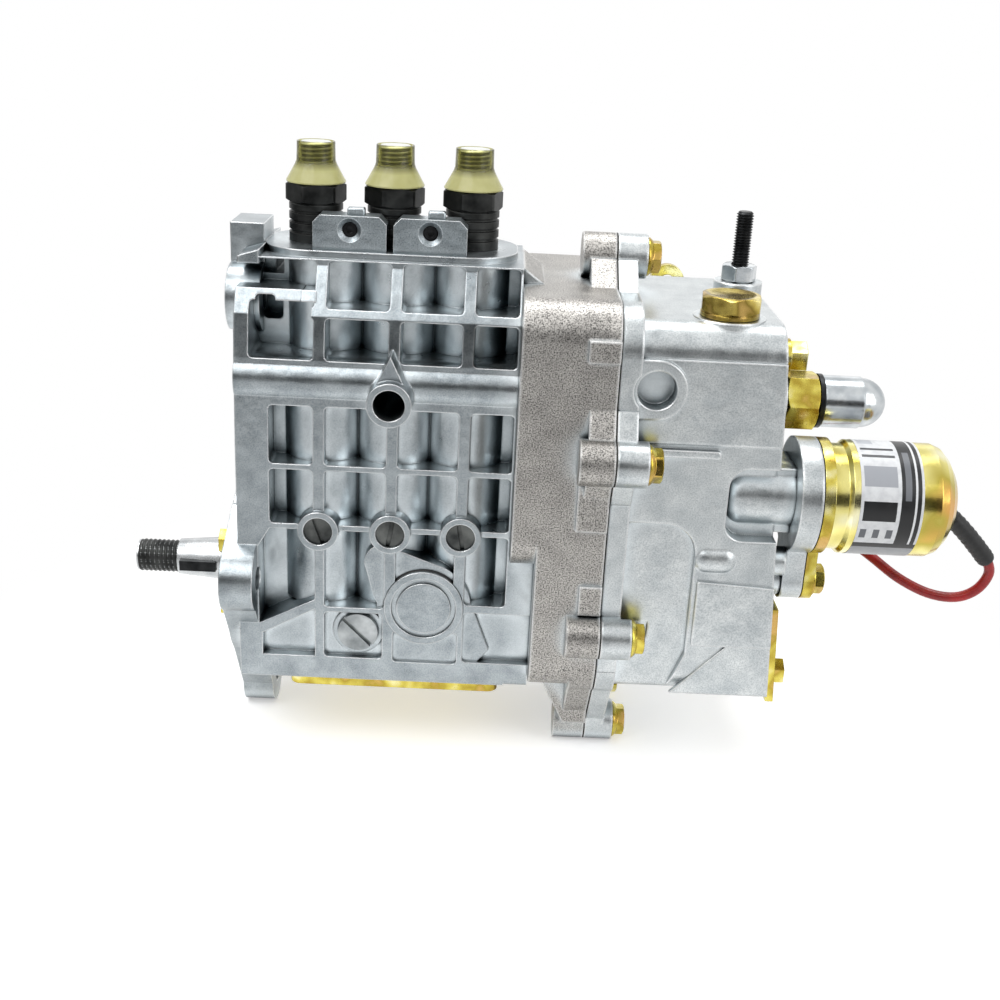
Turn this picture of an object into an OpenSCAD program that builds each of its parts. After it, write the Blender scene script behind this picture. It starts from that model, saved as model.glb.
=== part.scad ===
// In-line diesel injection pump: three elements, flyweight governor and stop solenoid.
// The origin lies on the camshaft axis in the mounting face of the flange. +X runs along
// the camshaft to the governor, +Z up to the delivery valves, and -Y to the front.

/* [Elements] */
// Distance between neighbouring pump elements
element_pitch = 28; // [27:0.5:28]
// Distance of the first element from the flange face
first_element_x = 29; // [28.5:0.5:30]
// Plunger diameter
plunger_d = 7; // [5.5:0.5:8]
// Cam lift, which is also the plunger stroke
cam_lift = 8; // [6:0.5:8]

/* [Drive end] */
// Thickness of the mounting flange
flange_t = 12; // [10:0.5:13]
// Diameter of the holes in the mounting flange
flange_hole_d = 9; // [8:0.5:10]
// Distance of the side flange holes from the camshaft axis
flange_hole_y = 37; // [35:0.5:38]
// Large diameter of the shaft taper
taper_d = 17; // [16:0.5:18]
// Diameter of the shaft thread
shaft_thread_d = 12; // [10:0.5:12.5]
// Reach of the shaft tip beyond the flange face
shaft_reach = 41; // [38:0.5:46]

/* [Pump housing] */
// Height of the deck that carries the delivery valves
deck_z = 127.5; // [127:0.5:129]
// Distance of the front rib faces from the camshaft axis
rib_y = 37; // [36:0.5:38]
// Depth of the cast pockets between the ribs
pocket_depth = 12; // [9:0.5:13]
// Corner radius of the cast pockets
pocket_r = 1.6; // [1:0.2:2.4]
// Bore of the fuel inlet
inlet_bore_d = 11; // [8:0.5:11.5]

/* [Governor] */
// Start of the governor case along the camshaft
case_x = 104; // [104:0.5:105]
// Joint face between governor case and cover
seam_x = 137; // [136:0.5:138]
// Half width of the governor case
case_half_y = 52; // [50:0.5:53]
// Half width of the governor cover
cover_half_y = 47; // [46:0.5:48]
// Height of the governor case
case_top_z = 119; // [118:0.5:120]
// Height of the governor cover
cover_top_z = 113; // [111:0.5:114]
// Bolt circle reach of the side seam bolts
seam_bolt_y = 57; // [56:0.5:58]

/* [Stop solenoid] */
// Diameter of the solenoid can
can_d = 41; // [38:0.5:42]
// Length of the solenoid can
can_len = 46; // [42:0.5:50]
// Working stroke of the solenoid plunger
solenoid_stroke = 10; // [6:0.5:10]

/* [Hidden] */
$fn = 64;
sweep_sides = 8;
spring_sides = 8;
touch = 0.3;
overcut = 1;
reach = 60;
mm = 1;
ELEMENTS = [0, 1, 2];

// Cam chamber, tappets and plungers
cam_base_r = 11;
cam_nose_r = 5;
cam_w = 11;
cam_hub_r = 9;
roller_r = 7.5;
roller_w = 9;
roller_pin_r = 3;
roller_pin_len = 20.4;
tappet_r = 11;
tappet_fit = 0.06;
tappet_skirt = 6;
tappet_len = 20;
tappet_slot_w = 9.6;
roller_z = cam_base_r + cam_lift + roller_r + touch;
tappet_z0 = roller_z - tappet_skirt;
tappet_top = tappet_z0 + tappet_len;
foot_r = 5.2;
foot_t = 2.4;
plunger_z0 = tappet_top;
spring_seat_r = 10;
spring_seat_t = 1.8;
spring_seat_z = plunger_z0 + foot_t;
upper_seat_z = 66;
upper_seat_t = 2;
spring_r = 8;
spring_wire_r = 1.1;
spring_turns = 5;
spring_z0 = spring_seat_z + spring_seat_t;
spring_len = upper_seat_z - spring_z0;
spring_step = 18;
barrel_r = 8;
barrel_neck_r = 6.6;
barrel_z0 = upper_seat_z + upper_seat_t;
barrel_step_z = 80;
barrel_sink = 14.5;
barrel_top = deck_z - barrel_sink;
plunger_top = 104;
plunger_fit = 0.03;
sleeve_r = 9;
sleeve_z0 = barrel_z0 + 0.3;
sleeve_h = 7;
sleeve_arm_len = 14.5;
sleeve_arm_w = 5;
sleeve_pin_r = 1.8;
rack_y = 14.5;
rack_w = 7;
rack_z0 = sleeve_z0 + sleeve_h + 0.6;
rack_h = 5;
rack_x0 = 20;
rack_x1 = 150.4;
rack_travel = 4;
rack_slot_w = 4.4;
rack_tunnel_w = 9;
rack_play = 0.4;
rack_room = 1;
rack_room_y = 3;
sleeve_room_r = 10.6;
housing_bore_r = barrel_r + 0.02;
spring_room_r = 10.6;
chamber_x0 = 14;
chamber_x1 = 98;
chamber_half_y = 20.4;
chamber_z0 = -27;
chamber_z1 = 23;
spring_room_z0 = 46;
holder_r = 9.6;
holder_thread_r = 9;
holder_fit = 0.05;
holder_body_h = 13.5;
holder_hex_h = 7;
holder_thread_h = 14;
holder_hex_z = deck_z + holder_body_h;
holder_hex_top = holder_hex_z + holder_hex_h;
holder_top = holder_hex_top + holder_thread_h;
holder_thread_tip_r = 6;
holder_hex_r = 11;
holder_bore_r = 2;
holder_room_r = 4.5;
holder_room_h = 8.5;
holder_room_top = deck_z + holder_room_h;
valve_r = 3.4;
groove_d = 0.7;
groove_w = 1.2;
groove_z = 3;
groove_pitch = 3.5;

// Camshaft and bearings
shaft_r = 8.5;
journal_r = 12;
front_bearing_x = 2.5;
front_bearing_w = 9;
front_bearing_r = 20;
rear_bearing_x = 99;
rear_bearing_w = 11;
rear_bearing_r = 20;
race_t = 3.4;
roller_in_r = 3;
roller_count = 11;
seal_x = 0;
seal_w = 2.2;
retainer_r = 25;
retainer_t = 2.2;
retainer_gap = 1.5;
retainer_bolt_reach = 13;
retainer_hex_r = 5;
retainer_hex_h = 4;
thread_len = 16;
taper_x = -8;
key_len = 14;
key_gap = 1.5;
key_w = 4;
key_h = 5;
key_rise = 9.4;

// Holes of the mounting flange: their places, given as Y and Z
FLANGE_EAR_Z = 9;
FLANGE_FOOT = [4, -51];
FLANGE_TOP = [-11, 108];

// Housing shape
base_z = -31;
back_y = 31;
deck_half_y = 22;
deck_r = 18;
deck_lip_t = 3;
deck_x0 = 11.6;
deck_x1 = 101.8;
body_x0 = 5;
lower_x1 = 113;
lower_top_z = 22;
gallery_y = -29.5;
gallery_z = 84;
gallery_r = 8.5;
feed_r = 5;
feed_y = -13;
inlet_x = 60;
inlet_z = 81;
inlet_r = 7.8;
inlet_y = -49;
rib_x = [34.4, 60.4, 85.9];
rib_half = 2;
guide_z = 29.5;
guide_boss_r = 7.4;
guide_boss_y = -39;
guide_screw_r = 5.2;
guide_tip_r = 2.4;
guide_tip_y = -13;
slot_w = 1.5;
slot_depth = 1.4;
core_plug_x = 73.2;
core_plug_z = 0;
core_plug_r = 14.6;
core_inner_r = 10;
core_plug_y = -37.6;
side_plug_x = 49;
side_plug_z = -11;
side_plug_r = 7.4;
pad_r = 17.4;
pad_y = -35.6;
low_floor_y = -30;
tower_r = 15.4;
tower_crest = 4.5;
upper_floor_y = -14;
low_row = [31.4, 52.2];
mid_row = [54.2, 75.6];
high_row = [92, 106.4];
top_row_z = 109.4;
ledge_z = 115;
left_col = [16.8, 33];
end_col_x = 103.2;
guide_rib_t = 2;
back_shift = 1.5;

// Cover plate under the cam chamber
bottom_x0 = 23;
bottom_x1 = 102;
bottom_half_y = 34;
bottom_set = 4;
bottom_screw_in = 8;
bottom_t = 2.6;
bottom_rim_t = 2;
bottom_screw_r = 4.6;
bottom_screw_h = 2.6;
bottom_screw_y = 28;

// Governor case and cover
gasket_t = 0.6;
case_r = 13;
cover_r = 11;
case_low_z = -26;
seam_t = 9;
cover_flange_t = 7;
cover_x0 = seam_x + gasket_t;
cover_top_x = 193;
cover_bottom_x = 202;
cover_low_z = -27;
room_half_y = 38;
room_low_z = -21.6;
room_top_z = 103;
room_x0 = 116;
room_x1 = 186;
hub_bore_r = 14;
seam_boss_r = 8;
seam_bolt_r = 3;
seam_head_r = 6.2;
seam_head_h = 5;
seam_head_x = 148.4;
seam_washer_r = 7;
seam_washer_t = 1.4;
head_room_r = 8.4;
seam_pad_t = 1.6;
// Cast pads on the near edge of the case: start along X, then lowest and highest Z
SEAM_PADS = [[126.3, 100.4, 108], [126, 40, 57], [129, 8, 19]];
// Places of the seam bolts: height of the top one and of the side ones, and the foot ones as Y and Z
SEAM_TOP_Z = 127;
SEAM_SIDE_Z = 67;
SEAM_LOW_Z = -1;
SEAM_FOOT = [17, -55];
seam_foot_rise = 5;
SEAM_BOLTS = [[0, SEAM_TOP_Z], [-seam_bolt_y, SEAM_SIDE_Z], [-case_half_y, SEAM_LOW_Z],
    [-SEAM_FOOT[0], SEAM_FOOT[1]], SEAM_FOOT, [case_half_y, SEAM_LOW_Z], [seam_bolt_y, SEAM_SIDE_Z]];
port_x = 150.4;
port_z = 91;
port_d = 13.6;
port_boss_r = 10.4;
port_boss_y = -49.5;
port_depth = 7;
port_face_r = 8;
sol_y = -32;
sol_z = 50;
sol_boss_r = 12.2;
sol_boss_x = 178;
sol_notch_y = -40.4;
dome_reach = 6;
recess_depth = 2.6;
sol_flange_x = 203.6;
sol_flange_t = 7.6;
sol_flange_r = 21;
sol_neck_r = 15;
sol_plate_t = 3.8;
sol_plate_gap = 0.4;
sol_ear_z = -33;
sol_ear_r = 7.5;
sol_ear_y = 31;
sol_ear_up = -8;
sol_hole_r = 3;
sol_head_r = 5.6;
sol_head_h = 4.6;
sol_rod_r = 3;
sol_rod_fit = 0.06;
sol_rod_len = 46;
sol_rod_in = 16;
sol_knob_r = 4;
sol_knob_t = 3;
sol_knob_gap = 0.6;
sol_travel = solenoid_stroke;
sol_can_x = sol_flange_x + sol_flange_t + sol_plate_gap + sol_plate_t;
sol_knob_x0 = sol_can_x + sol_rod_in - sol_rod_len - sol_knob_t;
can_r = can_d / 2;
can_chamfer = 9;
can_foot_t = 5;
nut_y = 0;
nut_z = 76;
nut_r = 11.3;
nut_x = 204.2;
nut_t = 12.4;
nut_collar_r = 9.4;
cap_r = 9.8;
cap_len = 15;
washer_t = 1.6;
washer_r = 10.2;
shim_nut_y = 18;
shim_nut_z = 87.5;
shim_nut_r = 6.6;
shim_nut_t = 6.4;
shim_nut_x = 208.6;
shim_washer_r = 7.4;
shim_washer_t = 1.6;
filler_x = 175.4;
filler_y = -30;
filler_hex_r = 11.4;
filler_hex_h = 6;
filler_collar_r = 10.2;
filler_collar_h = 1.8;
filler_boss_r = 12.5;
filler_top_z = 113.4;
idle_x = 185;
idle_y = 13;
idle_r = 3.2;
idle_z0 = 100;
idle_top = 143;
idle_nut_r = 6.8;
idle_nut_h = 6;
idle_boss_r = 9;
idle_boss_top = 117.5;
rear_plate_t = 3;
rear_plate_gap = 0.5;
rear_plate_half_y = 42;
rear_plate_z0 = -30;
rear_plate_z1 = 8;
rear_head_r = 5.2;
rear_head_h = 4;

// Levers on the far side of the cover
lever_x = 172;
lever_z = 62;
lever_shaft_r = 5;
lever_shaft_fit = 0.05;
lever_boss_r = 11;
lever_boss_h = 6;
lever_boss_y = cover_half_y + lever_boss_h;
lever_t = 4;
lever_len = 46;
lever_eye_r = 7;
lever_hub_r = 10;
lever_seat = 1;
lever_hub_y = lever_boss_y + lever_seat;
lever_gap = 0.4;
lever_nut_r = 7.4;
lever_nut_h = 5;
stop_x = 172;
stop_z = 18;
stop_len = 34;
stop_shaft_r = 4;

// Governor works
carrier_x = 117.5;
carrier_t = 3;
carrier_r = 17;
weight_pin_x = 126;
weight_pin_y = 12.5;
weight_pin_r = 1.6;
weight_half_w = 5;
weight_len = 11;
weight_t = 5;
weight_eye_r = 3.4;
toe_t = 3;
toe_len = 6.2;
fork_t = 2.6;
collar_x = weight_pin_x + toe_t / 2 + touch;
collar_r = 8;
collar_disc_r = 8.8;
collar_disc_t = 2;
collar_bore_r = 5.95;
collar_len = 16;
spindle_r = 5.9;
spindle_x1 = 149;
arm_x = 150.8;
arm_t = 4;
arm_y = 9;
arm_w = 12;
arm_pivot_z = -8;
arm_pivot_r = 3;
arm_top_z = 84;
arm_fit = 0.05;

// Stop solenoid lead, given along its middle line
LEAD_PATH = [[258.9, -32, 44], [260.9, -32, 43.4], [266.6, -31.6, 38.2], [272.2, -31, 32.4],
    [277.4, -30.2, 26.6], [279.6, -29, 20.5], [276.5, -28, 13.5], [270, -26, 9.2], [261, -22, 8.6],
    [251, -16, 11.6],
    [242, -8, 16.5], [234, 0, 20.5], [226, 7, 23.5], [217.5, 12.5, 26], [209.5, 17.5, 27.5],
    [203.5, 23.5, 28], [201.8, 31, 28]];
lead_r = 2;
lead_shift = 3;
lead_sleeve_points = 5;
lead_sleeve_r = 3.4;
connector_len = 22;
connector_w = 16;
connector_h = 11;

// Colours
cast_grey = [0.74, 0.76, 0.77];
plate_yellow = [0.84, 0.72, 0.28];
dark_steel = [0.16, 0.16, 0.17];
bright_steel = [0.7, 0.71, 0.72];
gasket_black = [0.1, 0.1, 0.1];
cap_cream = [0.93, 0.91, 0.66];
lead_red = [0.7, 0.08, 0.07];
brass_tone = [0.66, 0.54, 0.16];

// Node to draw

// Distance of an element from the flange face
function element_x(i) = first_element_x + i * element_pitch;

// Solid of a YZ outline between two places along X
module along_x(x0, x1) {
    translate([x0, 0, 0])
    rotate([90, 0, 90])
    linear_extrude(x1 - x0)
    children();
}

// Solid of an XZ outline between two places along Y
module along_y(y0, y1) {
    translate([0, y1, 0])
    rotate([90, 0, 0])
    linear_extrude(y1 - y0)
    children();
}

// Round bar along X through a point of the YZ plane
module bar_x(x0, x1, y, z, r) {
    translate([x0, y, z])
    rotate([0, 90, 0])
    cylinder(h = x1 - x0, r = r);
}

// Round bar along Y through a point of the XZ plane
module bar_y(y0, y1, x, z, r) {
    translate([x, y1, z])
    rotate([90, 0, 0])
    cylinder(h = y1 - y0, r = r);
}

// Box between two corners
module box(a, b) {
    translate(a)
    cube(b - a);
}

// Rectangle between two corners, with rounded corners
module round_rect(a, b, r) {
    translate([a[0] + r, a[1]])
    square([b[0] - a[0] - 2 * r, b[1] - a[1]]);
    translate([a[0], a[1] + r])
    square([b[0] - a[0], b[1] - a[1] - 2 * r]);
    for (x = [a[0] + r, b[0] - r])
        for (y = [a[1] + r, b[1] - r])
            translate([x, y])
            circle(r);
}

// Hexagonal bar along X, turned about its own axis: at 0 its corners point up and down
module hex_x(x0, t, y, z, r, turn = 0) {
    translate([x0, y, z])
    rotate([turn, 0, 0])
    rotate([0, 90, 0])
    cylinder(h = t, r = r, $fn = 6);
}

// Hexagon-head bolt with a pressed washer, pointing to -X
module flange_bolt_x(x0, y, z, shank) {
    bar_x(x0, x0 + seam_washer_t, y, z, seam_washer_r);
    hex_x(x0 + seam_washer_t, seam_head_h - seam_washer_t, y, z, seam_head_r);
    bar_x(x0 - shank, x0, y, z, seam_bolt_r);
}

// Put a child at each pump element
module at_elements() {
    for (i = ELEMENTS)
        translate([element_x(i), 0, 0])
        children();
}

// Outline of the housing across the camshaft, at the rib faces
module housing_outline() {
    front_mid = -35.5;
    front_high = -33;
    front_top = -24;
    back_high = 27;
    low_z = 60;
    mid_z = 92;
    high_z = 107;
    back_high_z = 100;
    lip_gap = 1.5;
    lip_lap = 0.5;
    under_z = deck_z - deck_lip_t - lip_gap;
    top_z = deck_z - deck_lip_t + lip_lap;
    polygon([[-rib_y, base_z], [-rib_y, low_z], [front_mid, mid_z], [front_high, high_z],
        [front_top, under_z], [front_top, top_z], [deck_half_y, top_z], [back_high, back_high_z],
        [back_y, low_z], [back_y, base_z]]);
}

// Outline of the lower housing and its end beside the governor case
module lower_outline() {
    round_rect([-rib_y, base_z], [back_y, lower_top_z], pocket_r);
}

// One cast pocket of the front, as the tool that leaves it
module pocket(x0, x1, z0, z1, floor_y) {
    along_y(-reach, floor_y)
    round_rect([x0, z0], [x1, z1], pocket_r);
}

// Round walls of the cylinders behind the ribs
module towers(z0, z1, crest_y) {
    for (x = rib_x)
        translate([x, crest_y + tower_r, z0])
        cylinder(h = z1 - z0, r = tower_r);
}

// A row of pockets between the ribs
module pocket_row(row, x0, floor_y) {
    edges = concat([x0], [for (x = rib_x) each [x - rib_half, x + rib_half]], [end_col_x]);
    for (i = [0:len(rib_x)])
        pocket(edges[2 * i], edges[2 * i + 1], row[0], row[1], floor_y);
}

// All cast pockets of the front
module front_pockets() {
    floor_y = -rib_y + pocket_depth;
    high_left = 10;
    slope = 1.5;
    ledge_under = 3.6;
    corner = 4;
    crest_y = -rib_y + tower_crest;
    upper_crest_y = upper_floor_y - pocket_depth + tower_crest;
    difference() {
        union() {
            pocket_row(low_row, left_col[0], floor_y);
            pocket_row(mid_row, left_col[0], floor_y);
        }
        towers(low_row[0] - overcut, mid_row[1] + overcut, crest_y);
    }
    difference() {
        union() {
            pocket_row(high_row, high_left, upper_floor_y);
            pocket(high_left, left_col[1] - slope, high_row[1] - 2 * pocket_r, ledge_z - ledge_under, upper_floor_y);
            pocket_row([top_row_z, deck_z - deck_lip_t], rib_x[0] - rib_half - corner, upper_floor_y);
        }
        towers(high_row[0] - overcut, deck_z, upper_crest_y);
    }
}

// Cast pockets of the far side
module back_pockets() {
    floor_y = 24;
    floor_step = 2;
    half_w = 12.5;
    foot_row = [-24, 26];
    middle_row = [34, 62];
    upper_row = [90, 112];
    for (i = ELEMENTS) {
        x0 = element_x(i) + back_shift - half_w;
        x1 = element_x(i) + back_shift + half_w;
        along_y(floor_y, reach)
        round_rect([x0, middle_row[0]], [x1, middle_row[1]], pocket_r);
        along_y(floor_y - floor_step, reach)
        round_rect([x0, upper_row[0]], [x1, upper_row[1]], pocket_r);
        along_y(floor_y + floor_step, reach)
        round_rect([x0, foot_row[0]], [x1, foot_row[1]], pocket_r);
    }
}

// Sunk faces of the lower front, around the plug bosses
module lower_pockets() {
    floor_y = -rib_y + pocket_depth;
    crest_y = -rib_y + tower_crest;
    top_z = low_row[0] - guide_rib_t;
    sill_z = -1.3;
    rim_z = -22;
    plug_box_depth = 2.5;
    window_depth = 4;
    end_depth = 3.5;
    end_sill = 3;
    sill_t = 2;
    plug_box_x = 58;
    window_x = [62, 86];
    window_z = [-23, -10];
    end_x = 88;
    end_reach = 6;
    plug_box_y = -rib_y + plug_box_depth;
    window_y = -rib_y + window_depth;
    end_y = -rib_y + end_depth;
    toe = [[12.4, -9], [33, 1.5], [33, top_z], [16.8, top_z], [12.4, 22]];
    wedge = [[13.5, rim_z], [33, rim_z], [33, -2.4], [13.5, -13]];
    difference() {
        union() {
            pocket(rib_x[0] + rib_half, rib_x[1] - rib_half, sill_z, top_z, floor_y);
            pocket(rib_x[1] + rib_half, rib_x[2] - rib_half, sill_z, top_z, floor_y);
            pocket(rib_x[2] + rib_half, end_col_x, sill_z + end_sill, top_z, floor_y);
            along_y(-reach, floor_y)
            polygon(toe);
        }
        towers(sill_z - overcut, top_z + overcut, crest_y);
    }
    along_y(-reach, window_y)
    polygon(wedge);
    pocket(rib_x[0] + rib_half, plug_box_x, rim_z, sill_z - sill_t, plug_box_y);
    pocket(window_x[0], window_x[1], window_z[0], window_z[1], window_y);
    pocket(end_x, lower_x1 + end_reach, rim_z, sill_z, end_y);
}

// Raised pad round the two plugs of the lower front
module plug_pad() {
    blob = [57.6, 17.2];
    blob_r = 6.6;
    side_pad_t = 2;
    side_pad_r = side_plug_r + side_pad_t;
    toe_x = 98;
    toe_z = -17;
    foot_z = -24;
    foot_x = 92;
    post = [58.4, 62];
    post_top_z = -13;
    waist = [54.6, 3];
    waist_z = -4;
    pad_lip = 2;
    core_plug_at = [core_plug_x, core_plug_z];
    crown_share = [0.46, 0.89];
    blob_top_share = [0.36, 0.93];
    blob_left_share = [-0.98, -0.18];
    depth_y = -24.4;
    bar_y(pad_y, depth_y, core_plug_x, core_plug_z, pad_r);
    bar_y(pad_y, low_floor_y, side_plug_x, side_plug_z, side_pad_r);
    bar_y(pad_y, depth_y, blob[0], blob[1], blob_r);
    along_y(pad_y, depth_y)
    polygon([[post[0], foot_z], [foot_x, foot_z], [toe_x, toe_z],
        [core_plug_x + pad_r, core_plug_z + pad_lip], core_plug_at + pad_r * crown_share,
        blob + blob_r * blob_top_share, blob + blob_r * blob_left_share, waist, [post[0], waist_z]]);
    along_y(-rib_y, depth_y)
    polygon([[post[0], foot_z], [post[1], foot_z], [post[1], post_top_z], [post[0], post_top_z]]);
}

// Mounting flange with its four ears
module flange_outline() {
    ear_r = 12;
    round_part_r = 36;
    foot_z = FLANGE_FOOT[1];
    top_z = FLANGE_TOP[1];
    top_y = FLANGE_TOP[0];
    neck_w = 20;
    side_y = flange_hole_y + 5;
    shoulder_y = 20;
    shoulder_z = [-2, 20, 31];
    hip_near = [-22, -30];
    hip_far = [26, -26];
    neck_gap = 1;
    neck_top = 6;
    circle(round_part_r);
    for (s = [-1, 1])
        translate([s * flange_hole_y, FLANGE_EAR_Z])
        circle(ear_r);
    translate(FLANGE_FOOT)
    circle(ear_r);
    polygon([hip_near, [FLANGE_FOOT[0] - ear_r, foot_z], [FLANGE_FOOT[0] + ear_r, foot_z], hip_far]);
    polygon([[-side_y, shoulder_z[0]], hip_near, hip_far, [side_y, shoulder_z[0]], [side_y, shoulder_z[1]],
        [shoulder_y, shoulder_z[2]], [-shoulder_y, shoulder_z[2]], [-side_y, shoulder_z[1]]]);
    translate([top_y, top_z])
    circle(ear_r);
    translate([-top_y, top_z])
    circle(ear_r);
    translate([top_y + neck_gap, shoulder_y])
    square([neck_w, top_z + neck_top]);
    translate([top_y, top_z])
    square([-2 * top_y, ear_r]);
}

module flange_holes() {
    top = FLANGE_TOP;
    room_x1 = 19;
    room_y = 4.5;
    room_z = [101, 113.2];
    for (p = [[-flange_hole_y, FLANGE_EAR_Z], [flange_hole_y, FLANGE_EAR_Z], FLANGE_FOOT, top,
        [-top[0], top[1]]])
        bar_x(-overcut, flange_t + overcut, p[0], p[1], flange_hole_d / 2);
    along_y(-reach, -room_y)
    round_rect([flange_t, room_z[0]], [room_x1, room_z[1]], pocket_r);
    along_y(room_y, reach)
    round_rect([flange_t, room_z[0]], [room_x1, room_z[1]], pocket_r);
}

// Rooms and bores that the running gear needs
module housing_rooms() {
    deck_over = deck_z + overcut;
    corner_r = 6;
    sill = 6;
    lap = 4;
    feed_start = 8;
    rack_play_y = rack_tunnel_w / 2;
    along_x(chamber_x0, chamber_x1)
    round_rect([-chamber_half_y, chamber_z0], [chamber_half_y, chamber_z1], corner_r);
    box([bottom_x0 + sill, -chamber_half_y, base_z - overcut],
        [chamber_x1 - lap, chamber_half_y, chamber_z0 + lap]);
    bar_x(-overcut, chamber_x0 + overcut, 0, 0, front_bearing_r + tappet_fit);
    bar_x(chamber_x1 - overcut, rear_bearing_x + rear_bearing_w, 0, 0, rear_bearing_r + tappet_fit);
    bar_x(chamber_x1, lower_x1 + overcut, 0, 0, hub_bore_r);
    at_elements() {
        translate([0, 0, chamber_z1 - lap])
        cylinder(h = spring_room_z0 - chamber_z1 + lap, r = tappet_r + tappet_fit);
        translate([0, 0, spring_room_z0 - overcut])
        cylinder(h = upper_seat_z - spring_room_z0 + overcut, r = tappet_r + tappet_fit);
        translate([0, 0, upper_seat_z - overcut])
        cylinder(h = barrel_step_z - upper_seat_z + overcut, r = sleeve_room_r);
        translate([0, 0, barrel_step_z - overcut])
        cylinder(h = deck_over - barrel_step_z + overcut, r = housing_bore_r);
        translate([0, 0, barrel_top])
        cylinder(h = deck_over - barrel_top, r = holder_thread_r + holder_fit);
    }
    bar_x(rack_x0 - feed_start, deck_x1 - lap, feed_y, gallery_z, feed_r);
    bar_y(inlet_y - overcut, feed_y, inlet_x, inlet_z, inlet_bore_d / 2);
    box([rack_x0 - feed_start, rack_room_y, sleeve_z0 - rack_play],
        [case_x + overcut, rack_y + rack_play_y, rack_z0 + rack_h + rack_room]);
}

// Web between the top of the flange and the deck, and the round end of the first cylinder
module gusset() {
    web_half = 9;
    foot_x = 2;
    head_x = 16;
    foot_drop = 6;
    foot_rise = 3;
    lip = 1;
    along_y(-web_half, web_half)
    polygon([[foot_x, ledge_z - foot_drop], [head_x, ledge_z - foot_drop], [head_x, deck_z - lip],
        [deck_x0 + lip, deck_z - lip], [foot_x, ledge_z + foot_rise]]);
}

// Open corner over the ledge at the left of the deck
module ledge_room() {
    step = 2.4;
    room_x1 = 19.6;
    back = 40;
    difference() {
        union() {
            along_y(-reach, back)
            polygon([[-overcut, ledge_z + step], [room_x1, ledge_z + step], [room_x1, deck_z - deck_lip_t],
                [-overcut, deck_z - deck_lip_t]]);
            along_y(-reach, upper_floor_y)
            polygon([[-overcut, ledge_z], [rib_x[0] - rib_half, ledge_z],
                [rib_x[0] - rib_half, deck_z - deck_lip_t], [-overcut, deck_z - deck_lip_t]]);
        }
        towers(ledge_z - overcut, deck_z, upper_floor_y - pocket_depth + tower_crest);
    }
}

module pump_body() {
    web_gap = 4;
    web_h = 16;
    plug_in = 10;
    core_seat_y = -28;
    side_seat_y = -27;
    color(cast_grey)
    difference() {
        union() {
            difference() {
                union() {
                    along_x(body_x0, case_x)
                    housing_outline();
                    along_x(body_x0, lower_x1)
                    lower_outline();
                }
                front_pockets();
                back_pockets();
                lower_pockets();
                ledge_room();
            }
            along_x(0, flange_t)
            flange_outline();
            translate([0, 0, deck_z - deck_lip_t])
            linear_extrude(deck_lip_t)
            round_rect([deck_x0, -deck_half_y], [deck_x1, deck_half_y], deck_r);
            bar_x(body_x0, case_x, gallery_y, gallery_z, gallery_r);
            bar_y(inlet_y, gallery_y, inlet_x, inlet_z, inlet_r);
            along_y(inlet_y + web_gap, gallery_y)
            polygon([[inlet_x - inlet_r, inlet_z], [inlet_x + inlet_r, inlet_z], [inlet_x, inlet_z + web_h]]);
            for (x = rib_x)
                bar_y(guide_boss_y, chamber_z0, x, guide_z, guide_boss_r);
            plug_pad();
            gusset();
        }
        housing_rooms();
        flange_holes();
        for (x = rib_x)
            bar_y(guide_boss_y - overcut, guide_tip_y - plug_in, x, guide_z, guide_screw_r + holder_fit);
        bar_y(-rib_y - overcut, core_seat_y, core_plug_x, core_plug_z, core_plug_r + holder_fit);
        bar_y(-rib_y - overcut, side_seat_y, side_plug_x, side_plug_z, side_plug_r + holder_fit);
    }
}

module bottom_cover() {
    rib_w = 2;
    corner_r = 4;
    color(plate_yellow)
    difference() {
        translate([0, 0, base_z - bottom_t - bottom_rim_t])
        linear_extrude(bottom_t + bottom_rim_t)
        round_rect([bottom_x0, -bottom_half_y], [bottom_x1, bottom_half_y - bottom_set], corner_r);
        translate([0, 0, base_z - bottom_t - bottom_rim_t - overcut])
        linear_extrude(bottom_rim_t + overcut)
        round_rect([bottom_x0 + rib_w, -bottom_half_y + rib_w],
            [bottom_x1 - rib_w, bottom_half_y - bottom_set - rib_w], corner_r - 1);
    }
}

module bottom_screws() {
    for (x = [bottom_x0 + bottom_screw_in, (bottom_x0 + bottom_x1) / 2, bottom_x1 - bottom_screw_in])
        for (y = [-bottom_screw_y, bottom_screw_y - bottom_set])
            color(plate_yellow)
            translate([x, y, base_z - bottom_t - bottom_screw_h])
            cylinder(h = bottom_screw_h, r = bottom_screw_r, $fn = 6);
}

module core_plug() {
    plug_t = 5.5;
    step = 1.2;
    rim = 2.6;
    color(cast_grey)
    difference() {
        bar_y(core_plug_y, core_plug_y + plug_t, core_plug_x, core_plug_z, core_plug_r);
        difference() {
            bar_y(core_plug_y - overcut, core_plug_y + step, core_plug_x, core_plug_z, core_plug_r - rim);
            bar_y(core_plug_y - overcut, core_plug_y + step, core_plug_x, core_plug_z, core_inner_r);
        }
    }
}

// Slotted screw head that faces the front
module slotted_head(y0, y1, x, z, r, turn) {
    difference() {
        bar_y(y0, y1, x, z, r);
        translate([x, y0, z])
        rotate([0, turn, 0])
        box([-r - overcut, -overcut, -slot_w / 2], [r + overcut, slot_depth, slot_w / 2]);
    }
}

module side_plug() {
    turn = 45;
    face_y = -37.5;
    foot_y = -28;
    color(bright_steel)
    slotted_head(face_y, foot_y, side_plug_x, side_plug_z, side_plug_r, turn);
}

module guide_screws() {
    turns = [70, 100, 80];
    head_in = 1.2;
    tip_gap = 11;
    for (i = ELEMENTS)
        color(bright_steel) {
            slotted_head(guide_boss_y + head_in, guide_tip_y - tip_gap, rib_x[i], guide_z, guide_screw_r,
                turns[i]);
        }
}

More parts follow.
